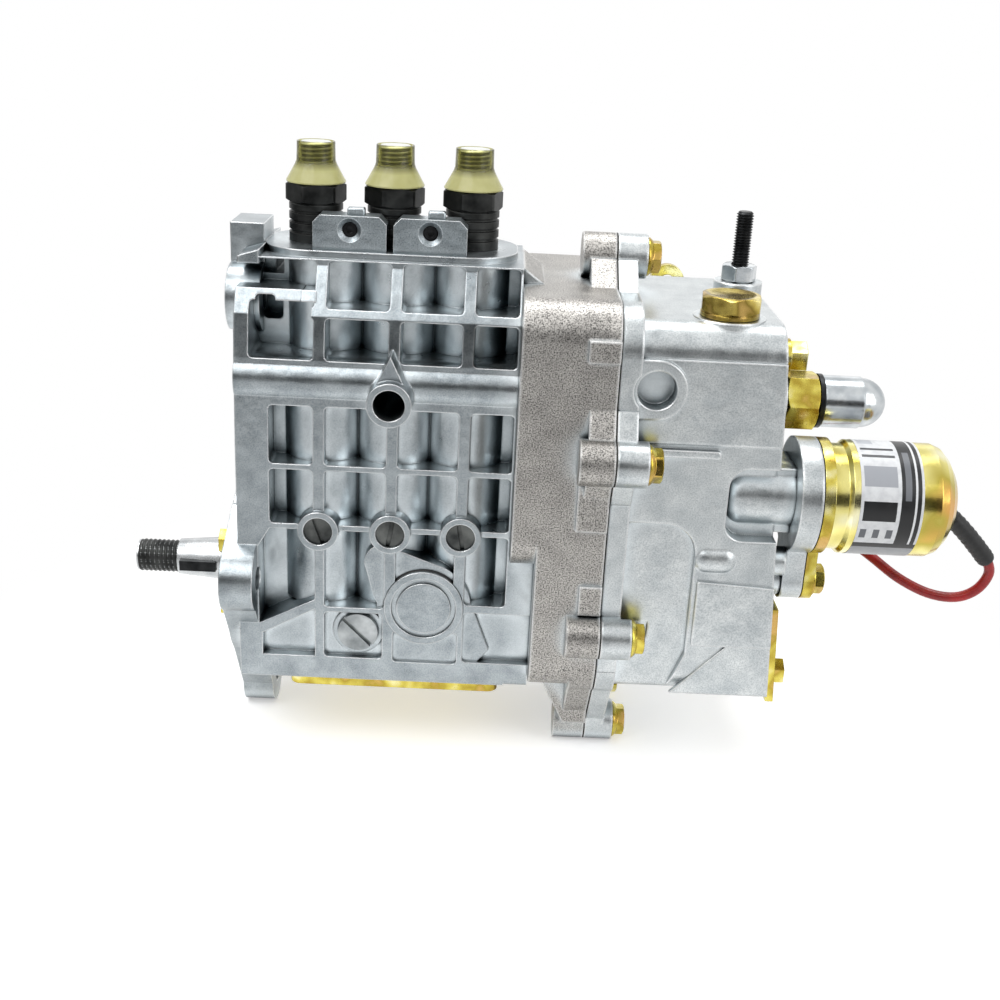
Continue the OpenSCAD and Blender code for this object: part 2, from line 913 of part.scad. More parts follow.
// Half of a cam outline: base circle, nose circle and the straight flanks between them
module cam_outline() {
    nose = cam_base_r + cam_lift - cam_nose_r;
    lean = acos((cam_base_r - cam_nose_r) / nose);
    flank = [sin(lean), cos(lean)];
    circle(cam_base_r);
    translate([0, nose])
    circle(cam_nose_r);
    polygon([[0, 0], cam_base_r * [flank[0], flank[1]], [0, nose] + cam_nose_r * [flank[0], flank[1]],
        [0, nose], [0, nose] + cam_nose_r * [-flank[0], flank[1]], cam_base_r * [-flank[0], flank[1]]]);
}

module camshaft() {
    thread_x = -shaft_reach;
    cone_x = thread_x + thread_len;
    small_r = 7;
    phases = [60, 180, 300];
    color(bright_steel)
    difference() {
        union() {
            bar_x(thread_x, cone_x, 0, 0, shaft_thread_d / 2);
            translate([cone_x, 0, 0])
            rotate([0, 90, 0])
            cylinder(h = taper_x - cone_x, r1 = small_r, r2 = taper_d / 2);
            bar_x(taper_x, front_bearing_x, 0, 0, shaft_r);
            bar_x(front_bearing_x, front_bearing_x + front_bearing_w, 0, 0, journal_r);
            bar_x(front_bearing_x + front_bearing_w, rear_bearing_x, 0, 0, cam_hub_r);
            bar_x(rear_bearing_x, rear_bearing_x + rear_bearing_w, 0, 0, journal_r);
            bar_x(rear_bearing_x + rear_bearing_w, carrier_x + carrier_t, 0, 0, shaft_r);
            bar_x(carrier_x + carrier_t, spindle_x1, 0, 0, spindle_r);
            for (i = ELEMENTS)
                translate([element_x(i) - cam_w / 2, 0, 0])
                rotate([phases[i], 0, 0])
                rotate([90, 0, 90])
                linear_extrude(cam_w)
                cam_outline();
        }
        translate([taper_x - key_gap, 0, 0])
        box([-key_len, -taper_d, -key_w / 2], [0, -key_h, key_w / 2]);
    }
}

module shaft_key() {
    color(dark_steel)
    translate([taper_x - key_gap, 0, 0])
    box([-key_len, -key_rise, -key_w / 2], [0, -key_h, key_w / 2]);
}

// Outer race of a bearing with the rollers that stand in it
module bearing(x0, w, outer_r) {
    pitch_r = journal_r + roller_in_r + holder_fit;
    roller_gap = 1;
    translate([x0, 0, 0])
    rotate([0, 90, 0]) {
        difference() {
            cylinder(h = w, r = outer_r);
            translate([0, 0, -overcut])
            cylinder(h = w + 2 * overcut, r = outer_r - race_t);
        }
        for (i = [0:roller_count - 1])
            rotate([0, 0, i * 360 / roller_count])
            translate([pitch_r, 0, roller_gap])
            cylinder(h = w - 2 * roller_gap, r = roller_in_r);
    }
}

module front_bearing() {
    color(bright_steel)
    bearing(front_bearing_x, front_bearing_w, front_bearing_r);
}

module rear_bearing() {
    color(bright_steel)
    bearing(rear_bearing_x, rear_bearing_w, rear_bearing_r);
}

module oil_seal() {
    color(gasket_black)
    difference() {
        bar_x(seal_x, seal_x + seal_w, 0, 0, front_bearing_r);
        bar_x(seal_x - overcut, seal_x + seal_w + overcut, 0, 0, shaft_r + holder_fit);
    }
}

module bearing_retainer() {
    color(bright_steel)
    difference() {
        bar_x(-retainer_t, 0, 0, 0, retainer_r);
        bar_x(-retainer_t - overcut, overcut, 0, 0, shaft_r + retainer_gap);
    }
}

module retainer_bolts() {
    for (y = [-retainer_bolt_reach, retainer_bolt_reach])
        for (z = [-retainer_bolt_reach, retainer_bolt_reach])
            color(plate_yellow)
            hex_x(-retainer_t - retainer_hex_h, retainer_hex_h, y, z, retainer_hex_r);
}

// Tappet with its roller and pin, below its element
module tappet(i) {
    guide_w = 5.4;
    guide_depth = 2;
    roof = 1;
    color(bright_steel)
    translate([element_x(i), 0, 0]) {
        difference() {
            translate([0, 0, tappet_z0])
            cylinder(h = tappet_len, r = tappet_r);
            box([-tappet_slot_w / 2, -tappet_r - overcut, tappet_z0 - overcut],
                [tappet_slot_w / 2, tappet_r + overcut, roller_z + roller_r + roof]);
            box([-guide_w / 2, tappet_r - guide_depth, tappet_z0 - overcut],
                [guide_w / 2, tappet_r + overcut, tappet_top + overcut]);
            bar_x(-tappet_r - overcut, tappet_r + overcut, 0, roller_z, roller_pin_r);
        }
        bar_x(-roller_w / 2, roller_w / 2, 0, roller_z, roller_r);
        bar_x(-roller_pin_len / 2, -roller_w / 2, 0, roller_z, roller_pin_r);
        bar_x(roller_w / 2, roller_pin_len / 2, 0, roller_z, roller_pin_r);
    }
}

module tappet_1() {
    tappet(0);
}

module tappet_2() {
    tappet(1);
}

module tappet_3() {
    tappet(2);
}

// Plunger with its foot and the spring seat that the foot carries
module plunger(i) {
    helix_z = 8;
    helix_w = 2.4;
    color(bright_steel)
    translate([element_x(i), 0, 0]) {
        difference() {
            translate([0, 0, plunger_z0])
            cylinder(h = plunger_top - plunger_z0, r = plunger_d / 2);
            translate([plunger_d / 4, -plunger_d, plunger_top - helix_z])
            rotate([0, -30, 0])
            cube([plunger_d, 2 * plunger_d, helix_w]);
        }
        translate([0, 0, plunger_z0])
        cylinder(h = foot_t, r = foot_r);
        translate([0, 0, spring_seat_z])
        cylinder(h = spring_seat_t, r = spring_seat_r);
    }
}

module plunger_1() {
    plunger(0);
}

module plunger_2() {
    plunger(1);
}

module plunger_3() {
    plunger(2);
}

// Ring of points round a helix, for the springs
function helix_ring(a, coil_r, rise, wire_r, sides) = [
    for (k = [0:sides - 1])
        let (b = k * 360 / sides, r = coil_r + wire_r * cos(b))
        [r * cos(a), r * sin(a), rise * a / 360 + wire_r * sin(b)]
];

// Coil spring that stands on the XY plane
module coil_spring(coil_r, wire_r, turns, length) {
    rise = (length - 2 * wire_r) / turns;
    steps = turns * spring_step;
    points = [
        for (j = [0:steps])
            each helix_ring(j * 360 / spring_step, coil_r, rise, wire_r, spring_sides)
    ];
    walls = [
        for (j = [0:steps - 1])
            for (k = [0:spring_sides - 1])
                let (a = j * spring_sides + k, b = j * spring_sides + (k + 1) % spring_sides)
                [a, b, b + spring_sides, a + spring_sides]
    ];
    first = [for (k = [spring_sides - 1:-1:0]) k];
    last = [for (k = [0:spring_sides - 1]) steps * spring_sides + k];
    translate([0, 0, wire_r])
    polyhedron(points, concat([first], walls, [last]));
}

module plunger_spring(i) {
    color(dark_steel)
    translate([element_x(i), 0, spring_z0])
    coil_spring(spring_r, spring_wire_r, spring_turns, spring_len);
}

module spring_1() {
    plunger_spring(0);
}

module spring_2() {
    plunger_spring(1);
}

module spring_3() {
    plunger_spring(2);
}

module upper_seats() {
    color(bright_steel)
    at_elements()
    translate([0, 0, upper_seat_z])
    difference() {
        cylinder(h = upper_seat_t, r = sleeve_room_r - holder_fit);
        translate([0, 0, -overcut])
        cylinder(h = upper_seat_t + 2 * overcut, r = plunger_d / 2 + touch);
    }
}

module barrels() {
    port_r = 1.6;
    port_rise = 12;
    color(bright_steel)
    at_elements()
    difference() {
        union() {
            translate([0, 0, barrel_step_z])
            cylinder(h = barrel_top - barrel_step_z, r = barrel_r);
            translate([0, 0, barrel_z0])
            cylinder(h = barrel_step_z - barrel_z0, r = barrel_neck_r);
        }
        translate([0, 0, barrel_z0 - overcut])
        cylinder(h = barrel_top - barrel_z0 + 2 * overcut, r = plunger_d / 2 + plunger_fit);
        bar_y(-barrel_r - overcut, barrel_r + overcut, 0, gallery_z + port_rise, port_r);
    }
}

// Control sleeve round the foot of a barrel, with the pin that the rack drives
module control_sleeve(i) {
    pin_up = 4.6;
    pin_h = sleeve_h + pin_up;
    arm_drop = 2.4;
    pin_set = 1.5;
    color(bright_steel)
    translate([element_x(i), 0, sleeve_z0]) {
        difference() {
            union() {
                cylinder(h = sleeve_h, r = sleeve_r);
                box([-sleeve_arm_w / 2, 0, 0], [sleeve_arm_w / 2, sleeve_arm_len, sleeve_h - arm_drop]);
            }
            translate([0, 0, -overcut])
            cylinder(h = sleeve_h + 2 * overcut, r = barrel_neck_r + holder_fit);
        }
        translate([0, rack_y - pin_set, 0])
        cylinder(h = pin_h, r = sleeve_pin_r);
    }
}

module sleeve_1() {
    control_sleeve(0);
}

module sleeve_2() {
    control_sleeve(1);
}

module sleeve_3() {
    control_sleeve(2);
}

module control_rack() {
    hook_len = 6;
    hook_r = 1.5;
    slot_back = 1.6;
    color(bright_steel)
    difference() {
        box([rack_x0, rack_y - rack_w / 2, rack_z0], [rack_x1, rack_y + rack_w / 2, rack_z0 + rack_h]);
        for (i = ELEMENTS)
            box([element_x(i) - rack_slot_w / 2, rack_y - rack_w, rack_z0 - overcut],
                [element_x(i) + rack_slot_w / 2, rack_y + slot_back, rack_z0 + rack_h + overcut]);
        bar_y(rack_y - rack_w, rack_y + rack_w, rack_x1 - hook_len / 2, rack_z0 + rack_h / 2, hook_r);
    }
}

module valve_holders() {
    chamfer = 1.2;
    color(dark_steel)
    at_elements()
    difference() {
        union() {
            translate([0, 0, barrel_top])
            cylinder(h = deck_z - barrel_top, r = holder_thread_r);
            translate([0, 0, deck_z])
            cylinder(h = holder_hex_z - deck_z, r = holder_r);
            translate([0, 0, holder_hex_z])
            cylinder(h = holder_hex_top - holder_hex_z, r = holder_hex_r, $fn = 6);
            translate([0, 0, holder_hex_top])
            cylinder(h = holder_top - holder_hex_top - chamfer, r = holder_thread_tip_r);
            translate([0, 0, holder_top - chamfer])
            cylinder(h = chamfer, r1 = holder_thread_tip_r, r2 = holder_thread_tip_r - chamfer);
        }
        translate([0, 0, barrel_top - overcut])
        cylinder(h = holder_room_top - barrel_top + overcut, r = holder_room_r);
        translate([0, 0, holder_room_top - overcut])
        cylinder(h = holder_top - holder_room_top + 2 * overcut, r = holder_bore_r);
        for (i = [0:2])
            translate([0, 0, deck_z + groove_z + i * groove_pitch])
            difference() {
                cylinder(h = groove_w, r = holder_r + overcut);
                translate([0, 0, -overcut])
                cylinder(h = groove_w + 2 * overcut, r = holder_r - groove_d);
            }
    }
}

module delivery_valves() {
    collar_h = 5;
    stem_r = 2;
    stem_h = 16;
    color(bright_steel)
    at_elements()
    translate([0, 0, barrel_top]) {
        cylinder(h = collar_h, r = holder_room_r);
        cylinder(h = stem_h, r = stem_r);
    }
}

module lock_plates() {
    front_y = -19;
    inner_y = -10.3;
    tongue_y = -3;
    tongue_half = 3.4;
    plate_h = 11.9;
    hole_rise = 1;
    low_z = deck_z;
    top_z = deck_z + plate_h;
    hole_z = (low_z + top_z) / 2 + hole_rise;
    sink = 1.6;
    half_w = 12.8;
    bevel = 2.6;
    hole_r = 2.6;
    color(cast_grey)
    for (i = [0, 1])
        translate([element_x(i) + element_pitch / 2, 0, 0])
        difference() {
            union() {
                along_y(front_y, inner_y)
                polygon([[-half_w, low_z], [half_w, low_z], [half_w, top_z - bevel], [half_w - bevel, top_z],
                    [-half_w + bevel, top_z], [-half_w, top_z - bevel]]);
                box([-tongue_half, inner_y - overcut, low_z], [tongue_half, tongue_y, top_z - bevel]);
            }
            bar_y(front_y - overcut, tongue_y + overcut, 0, hole_z, hole_r);
            translate([0, front_y - sink / 2, hole_z])
            rotate([-90, 0, 0])
            cylinder(h = 1.5 * sink, r1 = hole_r + 1.5 * sink, r2 = hole_r);
            for (s = [-1, 1])
                translate([s * element_pitch / 2, 0, low_z - overcut])
                cylinder(h = top_z - low_z + 2 * overcut, r = holder_r + touch);
        }
}

module thread_caps() {
    flare_r = 9.4;
    neck_r = 7.4;
    flare_h = 3;
    rim = 0.2;
    cap_h = holder_top - holder_hex_top + rim;
    color(cap_cream)
    at_elements()
    translate([0, 0, holder_hex_top])
    difference() {
        union() {
            cylinder(h = flare_h, r1 = flare_r, r2 = neck_r);
            cylinder(h = cap_h, r = neck_r);
        }
        translate([0, 0, -overcut])
        cylinder(h = cap_h + 2 * overcut, r = holder_thread_tip_r + holder_fit);
    }
}

// Outline of the bolted seam between case and cover
module seam_outline() {
    web = 9;
    corner_r = 16;
    set_back = 1;
    side_half = 8;
    leg_half = seam_boss_r - set_back / 5;
    leg_h = 20;
    low_z = -30;
    skirt_z = -16;
    roof_y = 24;
    roof_drop = 3;
    side_y = case_half_y - set_back;
    foot_y = SEAM_FOOT[0] + web;
    foot_z = SEAM_FOOT[1] + seam_foot_rise;
    roof_z = case_top_z - roof_drop;
    bolt_low = SEAM_SIDE_Z - side_half;
    bolt_high = SEAM_SIDE_Z + side_half;
    round_rect([-side_y, low_z], [side_y, case_top_z - set_back], corner_r);
    polygon([[-side_y, skirt_z], [-foot_y, foot_z], [foot_y, foot_z], [side_y, skirt_z]]);
    polygon([[roof_y, roof_z], [web, SEAM_TOP_Z], [-web, SEAM_TOP_Z], [-roof_y, roof_z]]);
    for (p = SEAM_BOLTS)
        translate(p)
        circle(seam_boss_r);
    polygon([[-seam_bolt_y, bolt_low], [-case_half_y, bolt_low - web], [case_half_y, bolt_low - web],
        [seam_bolt_y, bolt_low], [seam_bolt_y, bolt_high], [case_half_y, bolt_high + web],
        [-case_half_y, bolt_high + web], [-seam_bolt_y, bolt_high]]);
    for (s = [-1, 1])
        translate([s * SEAM_FOOT[0] - leg_half, SEAM_FOOT[1] - set_back])
        square([2 * leg_half, leg_h]);
}

// Room for the governor works
module governor_room_outline() {
    corner_r = 8;
    round_rect([-room_half_y, room_low_z], [room_half_y, room_top_z], corner_r);
}

// Sloping shoulder between the deck and the case
module shoulder() {
    half_w = 19;
    foot_x = 113;
    foot_drop = 8;
    top_drop = 1;
    along_y(-half_w, half_w)
    polygon([[case_x, case_top_z - foot_drop], [foot_x, case_top_z - foot_drop],
        [foot_x, case_top_z - top_drop], [case_x, deck_z - deck_lip_t]]);
}

module governor_case() {
    upper_low_z = 22;
    boss_x = 125;
    bolt_in = 3;
    toe_half = 30;
    toe_rise = 6;
    toe_z = SEAM_FOOT[1] + seam_foot_rise;
    toe_x = 113;
    color(cast_grey)
    difference() {
        union() {
            along_x(case_x, seam_x)
            round_rect([-case_half_y, upper_low_z], [case_half_y, case_top_z], case_r);
            along_x(lower_x1, seam_x)
            round_rect([-case_half_y, case_low_z], [case_half_y, case_top_z], case_r);
            along_x(seam_x - seam_t, seam_x)
            seam_outline();
            for (p = SEAM_BOLTS)
                bar_x(boss_x, seam_x, p[0], p[1], seam_boss_r);
            for (b = SEAM_PADS)
                box([b[0], -case_half_y - seam_pad_t, b[1]], [seam_x, -case_half_y + seam_pad_t, b[2]]);
            shoulder();
            along_y(-toe_half, toe_half)
            polygon([[toe_x, case_low_z + toe_rise], [seam_x - seam_t, toe_z], [seam_x, toe_z],
                [seam_x, case_low_z + toe_rise]]);
        }
        along_x(room_x0, seam_x + overcut)
        governor_room_outline();
        bar_x(case_x - overcut, room_x0 + overcut, 0, 0, hub_bore_r);
        box([case_x - overcut, rack_y - rack_tunnel_w / 2, sleeve_z0 - rack_play],
            [room_x0 + overcut, rack_y + rack_tunnel_w / 2, rack_z0 + rack_h + rack_room]);
        along_x(case_x - overcut, lower_x1)
        housing_clear();
        for (p = SEAM_BOLTS)
            bar_x(boss_x + bolt_in, seam_x + overcut, p[0], p[1], seam_bolt_r + holder_fit);
    }
}

// Room in the case for the end of the pump housing
module housing_clear() {
    corner_r = 1;
    round_rect([-rib_y, base_z], [back_y, lower_top_z], corner_r);
}

module seam_gasket() {
    color(gasket_black)
    difference() {
        along_x(seam_x, seam_x + gasket_t)
        seam_outline();
        along_x(seam_x - overcut, seam_x + gasket_t + overcut)
        governor_room_outline();
        for (p = SEAM_BOLTS)
            bar_x(seam_x - overcut, seam_x + gasket_t + overcut, p[0], p[1], seam_bolt_r + holder_fit);
    }
}

// Side outline of the cover, whose end face leans
module cover_side() {
    polygon([[cover_x0, cover_low_z], [cover_bottom_x, cover_low_z], [cover_top_x, cover_top_z],
        [cover_x0, cover_top_z]]);
}

// Round boss that carries the solenoid, with a rounded end towards the seam
module solenoid_boss() {
    nose = 7;
    web_at = [-8, -12];
    web_w = 20;
    bar_x(sol_boss_x + nose, sol_flange_x, sol_y, sol_z, sol_boss_r);
    translate([sol_boss_x, sol_y, sol_z])
    rotate([0, 90, 0])
    rotate_extrude()
    intersection() {
        union() {
            square([sol_boss_r - nose, nose]);
            translate([sol_boss_r - nose, nose])
            circle(nose);
        }
        square([sol_boss_r, nose + overcut]);
    }
    along_x(sol_boss_x + nose, sol_flange_x)
    translate([sol_y + web_at[0], sol_z + web_at[1]])
    square([web_w, -2 * web_at[1]]);
}

// Smooth hollow at the lower left of the cover's near face
module cover_recess() {
    x0 = cover_x0 + cover_flange_t;
    x1 = 169.7;
    bend_r = 12;
    top_z = 42;
    toe = [163.9, -24.3];
    knee_z = -9;
    polygon([[x0, toe[1]], toe, [x1, knee_z], [x1, top_z - bend_r], [x1 - bend_r, top_z], [x0, top_z]]);
    translate([x1 - bend_r, top_z - bend_r])
    circle(bend_r);
}

// Raised forms of the cover's near face
module cover_front_forms() {
    step_z = 101.6;
    step_t = 0.9;
    step_low = 72;
    ridge_z = [67.4, 70];
    ridge_x1 = 174.7;
    ridge_r = 1.2;
    panel_t = 1.2;
    panel_x = 171.4;
    panel_z = [-4.9, 19, 20.6];
    facet_x = [165.4, 184.4];
    facet_z = -25;
    dome_r = 6.4;
    dome_x = [174, 180];
    dome_y = -42.4;
    dome_z = 28.4;
    spar_y = -37;
    spar_z = 25.6;
    spar_r = 5.4;
    along_y(-cover_half_y - step_t, -cover_half_y + step_t)
    polygon([[cover_x0, step_low], [cover_end_x(step_low), step_low], [cover_end_x(step_z), step_z],
        [cover_x0, step_z]]);
    along_y(-cover_half_y - 2 * step_t, -cover_half_y + step_t)
    round_rect([cover_x0 + cover_flange_t, ridge_z[0]], [ridge_x1, ridge_z[1]], ridge_r);
    along_y(-cover_half_y - panel_t, -cover_half_y + panel_t)
    polygon([[panel_x, panel_z[0]], [cover_end_x(panel_z[0]), panel_z[0]],
        [cover_end_x(panel_z[1]), panel_z[1]], [panel_x, panel_z[2]]]);
    along_y(-cover_half_y - panel_t / 2, -cover_half_y + panel_t)
    polygon([[facet_x[0], facet_z], [cover_end_x(facet_z), facet_z],
        [cover_end_x(panel_z[0]), panel_z[0]], [facet_x[1], panel_z[0]]]);
    bar_x(dome_x[0], dome_x[1], dome_y, dome_z, dome_r);
    for (x = dome_x)
        translate([x, dome_y, dome_z])
        sphere(dome_r);
    bar_x(dome_x[1], sol_flange_x, spar_y, spar_z, spar_r);
    solenoid_boss();
}

module governor_cover() {
    boss_x1 = seam_head_x;
    head_room = 7;
    lap = 2;
    root = 6;
    depth = 12;
    seat_gap = 0.6;
    rim = 1;
    rod_lap = 30;
    pin_lap = 5;
    ear_back = 8;
    notch_gap = [1, 1.4];
    notch_reach = 8;
    notch_r = 7;
    color(cast_grey)
    difference() {
        union() {
            intersection() {
                along_x(cover_x0, cover_bottom_x)
                round_rect([-cover_half_y, cover_low_z], [cover_half_y, cover_top_z], cover_r);
                along_y(-cover_half_y, cover_half_y)
                cover_side();
            }
            along_x(cover_x0, cover_x0 + cover_flange_t)
            seam_outline();
            for (p = SEAM_BOLTS)
                bar_x(cover_x0, boss_x1, p[0], p[1], seam_boss_r);
            bar_y(port_boss_y, -cover_half_y + lap, port_x, port_z, port_boss_r);
            box([cover_x0, port_boss_y, port_z - port_boss_r],
                [port_x, -cover_half_y + lap, port_z + port_boss_r]);
            cover_front_forms();
            bar_x(sol_boss_x + ear_back, sol_flange_x, sol_y, sol_z + sol_ear_z, sol_ear_r - rim);
            translate([filler_x, filler_y, cover_top_z - root])
            cylinder(h = filler_top_z - cover_top_z + root, r = filler_boss_r);
            translate([idle_x, idle_y, cover_top_z - root])
            cylinder(h = idle_boss_top - cover_top_z + root, r = idle_boss_r);
            bar_y(cover_half_y - lap, lever_boss_y, lever_x, lever_z, lever_boss_r);
            bar_y(cover_half_y - lap, lever_boss_y, stop_x, stop_z, lever_boss_r);
            bar_x(cover_top_x - root, nut_x - seat_gap, nut_y, nut_z, nut_r + rim);
            bar_x(cover_top_x - root, shim_nut_x - shim_washer_t, shim_nut_y, shim_nut_z, shim_washer_r);
        }
        along_x(seam_x - overcut, room_x1)
        governor_room_outline();
        for (p = SEAM_BOLTS)
            bar_x(cover_x0 - overcut, boss_x1 + overcut, p[0], p[1], seam_bolt_r + holder_fit);
        for (y = [-case_half_y, case_half_y])
            bar_x(boss_x1, boss_x1 + head_room, y, SEAM_BOLTS[2][1], head_room_r);
        bar_y(port_boss_y - overcut, port_boss_y + port_depth, port_x, port_z, port_d / 2);
        bar_y(-case_half_y - seam_boss_r, port_boss_y, port_x, port_z, port_face_r);
        along_y(-cover_half_y - dome_reach, -cover_half_y + recess_depth)
        cover_recess();
        difference() {
            along_y(-cover_half_y - dome_reach, sol_notch_y)
            round_rect([sol_boss_x + notch_gap[0], sol_z - sol_boss_r - notch_gap[1]],
                [cover_bottom_x + notch_reach, sol_z + sol_boss_r + notch_gap[1]], notch_r);
            solenoid_boss();
        }
        bar_x(room_x1 - rod_lap, sol_flange_x + overcut, sol_y, sol_z, sol_rod_r + sol_rod_fit);
        bar_x(sol_knob_x0 - sol_travel - rim, room_x1, sol_y, sol_z, sol_knob_r + sol_knob_gap);
        bar_y(cover_half_y - depth, lever_boss_y + overcut, lever_x, lever_z, lever_shaft_r + lever_shaft_fit);
        bar_y(cover_half_y - depth, lever_boss_y + overcut, stop_x, stop_z, stop_shaft_r + lever_shaft_fit);
        bar_y(-room_half_y - pin_lap, room_half_y + pin_lap, arm_x + arm_t / 2, arm_pivot_z, arm_pivot_r + arm_fit);
        translate([idle_x, idle_y, idle_z0])
        cylinder(h = idle_boss_top - idle_z0 + overcut, r = idle_r + holder_fit);
        bar_x(sol_flange_x - depth, sol_flange_x + overcut, sol_y, sol_z + sol_ear_z,
            sol_hole_r + holder_fit);
    }
}

module seam_bolts() {
    shank = 19;
    color(plate_yellow)
    for (p = SEAM_BOLTS)
        flange_bolt_x(seam_head_x, p[0], p[1], shank);
}

// Lean of the cover's end face from upright
function cover_lean() = atan2(cover_bottom_x - cover_top_x, cover_top_z - cover_low_z);

// Place of the cover's end face at a height
function cover_end_x(z) = cover_bottom_x - (z - cover_low_z) * tan(cover_lean());

module rear_plate() {
    x0 = cover_end_x(rear_plate_z1) + rear_plate_gap;
    x1 = cover_end_x(rear_plate_z0) + rear_plate_gap;
    color(plate_yellow)
    along_y(-rear_plate_half_y, rear_plate_half_y)
    polygon([[x0, rear_plate_z1], [x0 + rear_plate_t, rear_plate_z1], [x1 + rear_plate_t, rear_plate_z0],
        [x1, rear_plate_z0]]);
}

module rear_plate_bolts() {
    z = -21;
    set_in = 8;
    x0 = cover_end_x(z - rear_head_r) + rear_plate_gap + rear_plate_t;
    for (y = [-rear_plate_half_y + set_in, rear_plate_half_y - set_in])
        color(plate_yellow)
        hex_x(x0, rear_head_h, y, z, rear_head_r);
}

module filler_plug() {
    color(brass_tone)
    translate([filler_x, filler_y, filler_top_z]) {
        cylinder(h = filler_collar_h, r = filler_collar_r);
        translate([0, 0, filler_collar_h])
        cylinder(h = filler_hex_h, r = filler_hex_r, $fn = 6);
    }
}

module idle_screw() {
    color(dark_steel)
    translate([idle_x, idle_y, idle_z0])
    cylinder(h = idle_top - idle_z0, r = idle_r);
}

module idle_nut() {
    color(bright_steel)
    translate([idle_x, idle_y, idle_boss_top])
    difference() {
        cylinder(h = idle_nut_h, r = idle_nut_r, $fn = 6);
        translate([0, 0, -overcut])
        cylinder(h = idle_nut_h + 2 * overcut, r = idle_r + holder_fit);
    }
}

module limiter_nut() {
    collar_t = 0.6;
    turn = 30;
    color(plate_yellow) {
        bar_x(nut_x - collar_t, nut_x, nut_y, nut_z, nut_collar_r);
        hex_x(nut_x, nut_t, nut_y, nut_z, nut_r, turn);
    }
}

module limiter_washer() {
    color(dark_steel)
    bar_x(nut_x + nut_t, nut_x + nut_t + washer_t, nut_y, nut_z, washer_r);
}

module limiter_cap() {
    x0 = nut_x + nut_t + washer_t;
    color(bright_steel) {
        bar_x(x0, x0 + cap_len, nut_y, nut_z, cap_r);
        intersection() {
            translate([x0 + cap_len, nut_y, nut_z])
            sphere(cap_r);
            bar_x(x0 + cap_len - overcut, x0 + cap_len + cap_r, nut_y, nut_z, cap_r);
        }
    }
}

module shim_nut() {
    color(dark_steel)
    bar_x(shim_nut_x - shim_washer_t, shim_nut_x, shim_nut_y, shim_nut_z, shim_washer_r);
    color(plate_yellow)
    hex_x(shim_nut_x, shim_nut_t, shim_nut_y, shim_nut_z, shim_nut_r);
}

// Outline of the solenoid's foot, about its own axis: a disc and two ears
module solenoid_foot_outline() {
    flat = 0.2;
    near_z = -19;
    far_z = 14;
    arm_half = sol_ear_r - flat;
    circle(sol_flange_r);
    translate([0, sol_ear_z])
    circle(sol_ear_r);
    translate([-arm_half, sol_ear_z])
    square([2 * arm_half, -sol_ear_z]);
    translate([sol_ear_y, sol_ear_up])
    circle(sol_ear_r);
    polygon([[0, near_z], [sol_ear_y, sol_ear_up - arm_half], [sol_ear_y, sol_ear_up + arm_half], [0, far_z]]);
}

SOLENOID_HOLES = [[0, sol_ear_z], [sol_ear_y, sol_ear_up]];

module at_solenoid() {
    translate([0, sol_y, sol_z])
    children();
}

module solenoid_flange() {
    x1 = sol_flange_x + sol_flange_t;
    color(cast_grey)
    at_solenoid()
    difference() {
        along_x(sol_flange_x, x1)
        solenoid_foot_outline();
        bar_x(sol_flange_x - overcut, x1 + overcut, 0, 0, sol_rod_r + sol_rod_fit);
        for (p = SOLENOID_HOLES)
            bar_x(sol_flange_x - overcut, x1 + overcut, p[0], p[1], sol_hole_r + holder_fit);
    }
}

module solenoid_plate() {
    x0 = sol_flange_x + sol_flange_t + sol_plate_gap;
    color(plate_yellow)
    at_solenoid()
    difference() {
        along_x(x0, x0 + sol_plate_t)
        solenoid_foot_outline();
        bar_x(x0 - overcut, x0 + sol_plate_t + overcut, 0, 0, sol_rod_r + sol_rod_fit);
        for (p = SOLENOID_HOLES)
            bar_x(x0 - overcut, x0 + sol_plate_t + overcut, p[0], p[1], sol_hole_r + holder_fit);
    }
}

module solenoid_can() {
    nose_r = 2;
    nose_len = 0.8;
    foot_set = 1.4;
    rod_gap = 2;
    round_share = [[0.133, 0.667], [0.444, 0.378], [0.889, 0.111]];
    color(plate_yellow)
    at_solenoid()
    difference() {
        translate([sol_can_x, 0, 0])
        rotate([0, 90, 0])
        rotate_extrude()
        polygon([[0, 0], [can_r - foot_set, 0], [can_r - foot_set, can_foot_t], [can_r, can_foot_t + foot_set],
            [can_r, can_len - can_chamfer],
            for (p = round_share) [can_r - can_chamfer * p[0], can_len - can_chamfer * p[1]],
            [nose_r, can_len], [nose_r, can_len + nose_len], [0, can_len + nose_len]]);
        bar_x(sol_can_x - overcut, sol_can_x + solenoid_stroke + sol_rod_in + rod_gap, 0, 0,
            sol_rod_r + sol_rod_fit);
    }
}

module solenoid_bolts() {
    x0 = sol_can_x;
    collar_t = 1;
    collar_rim = 0.8;
    shank = 14;
    color(plate_yellow)
    at_solenoid()
    for (p = SOLENOID_HOLES) {
        hex_x(x0 + collar_t, sol_head_h - collar_t, p[0], p[1], sol_head_r);
        bar_x(x0, x0 + collar_t, p[0], p[1], sol_head_r + collar_rim);
        bar_x(x0 - shank, x0, p[0], p[1], sol_hole_r);
    }
}

module solenoid_rod() {
    color(bright_steel)
    at_solenoid() {
        bar_x(sol_knob_x0 + sol_knob_t, sol_can_x + sol_rod_in, 0, 0, sol_rod_r);
        bar_x(sol_knob_x0, sol_knob_x0 + sol_knob_t, 0, 0, sol_knob_r);
    }
}

// Unit vector of a vector
function unit(v) = v / norm(v);

// Direction of a path at one of its points
function path_way(path, i) =
    unit(path[min(i + 1, len(path) - 1)] - path[max(i - 1, 0)]);

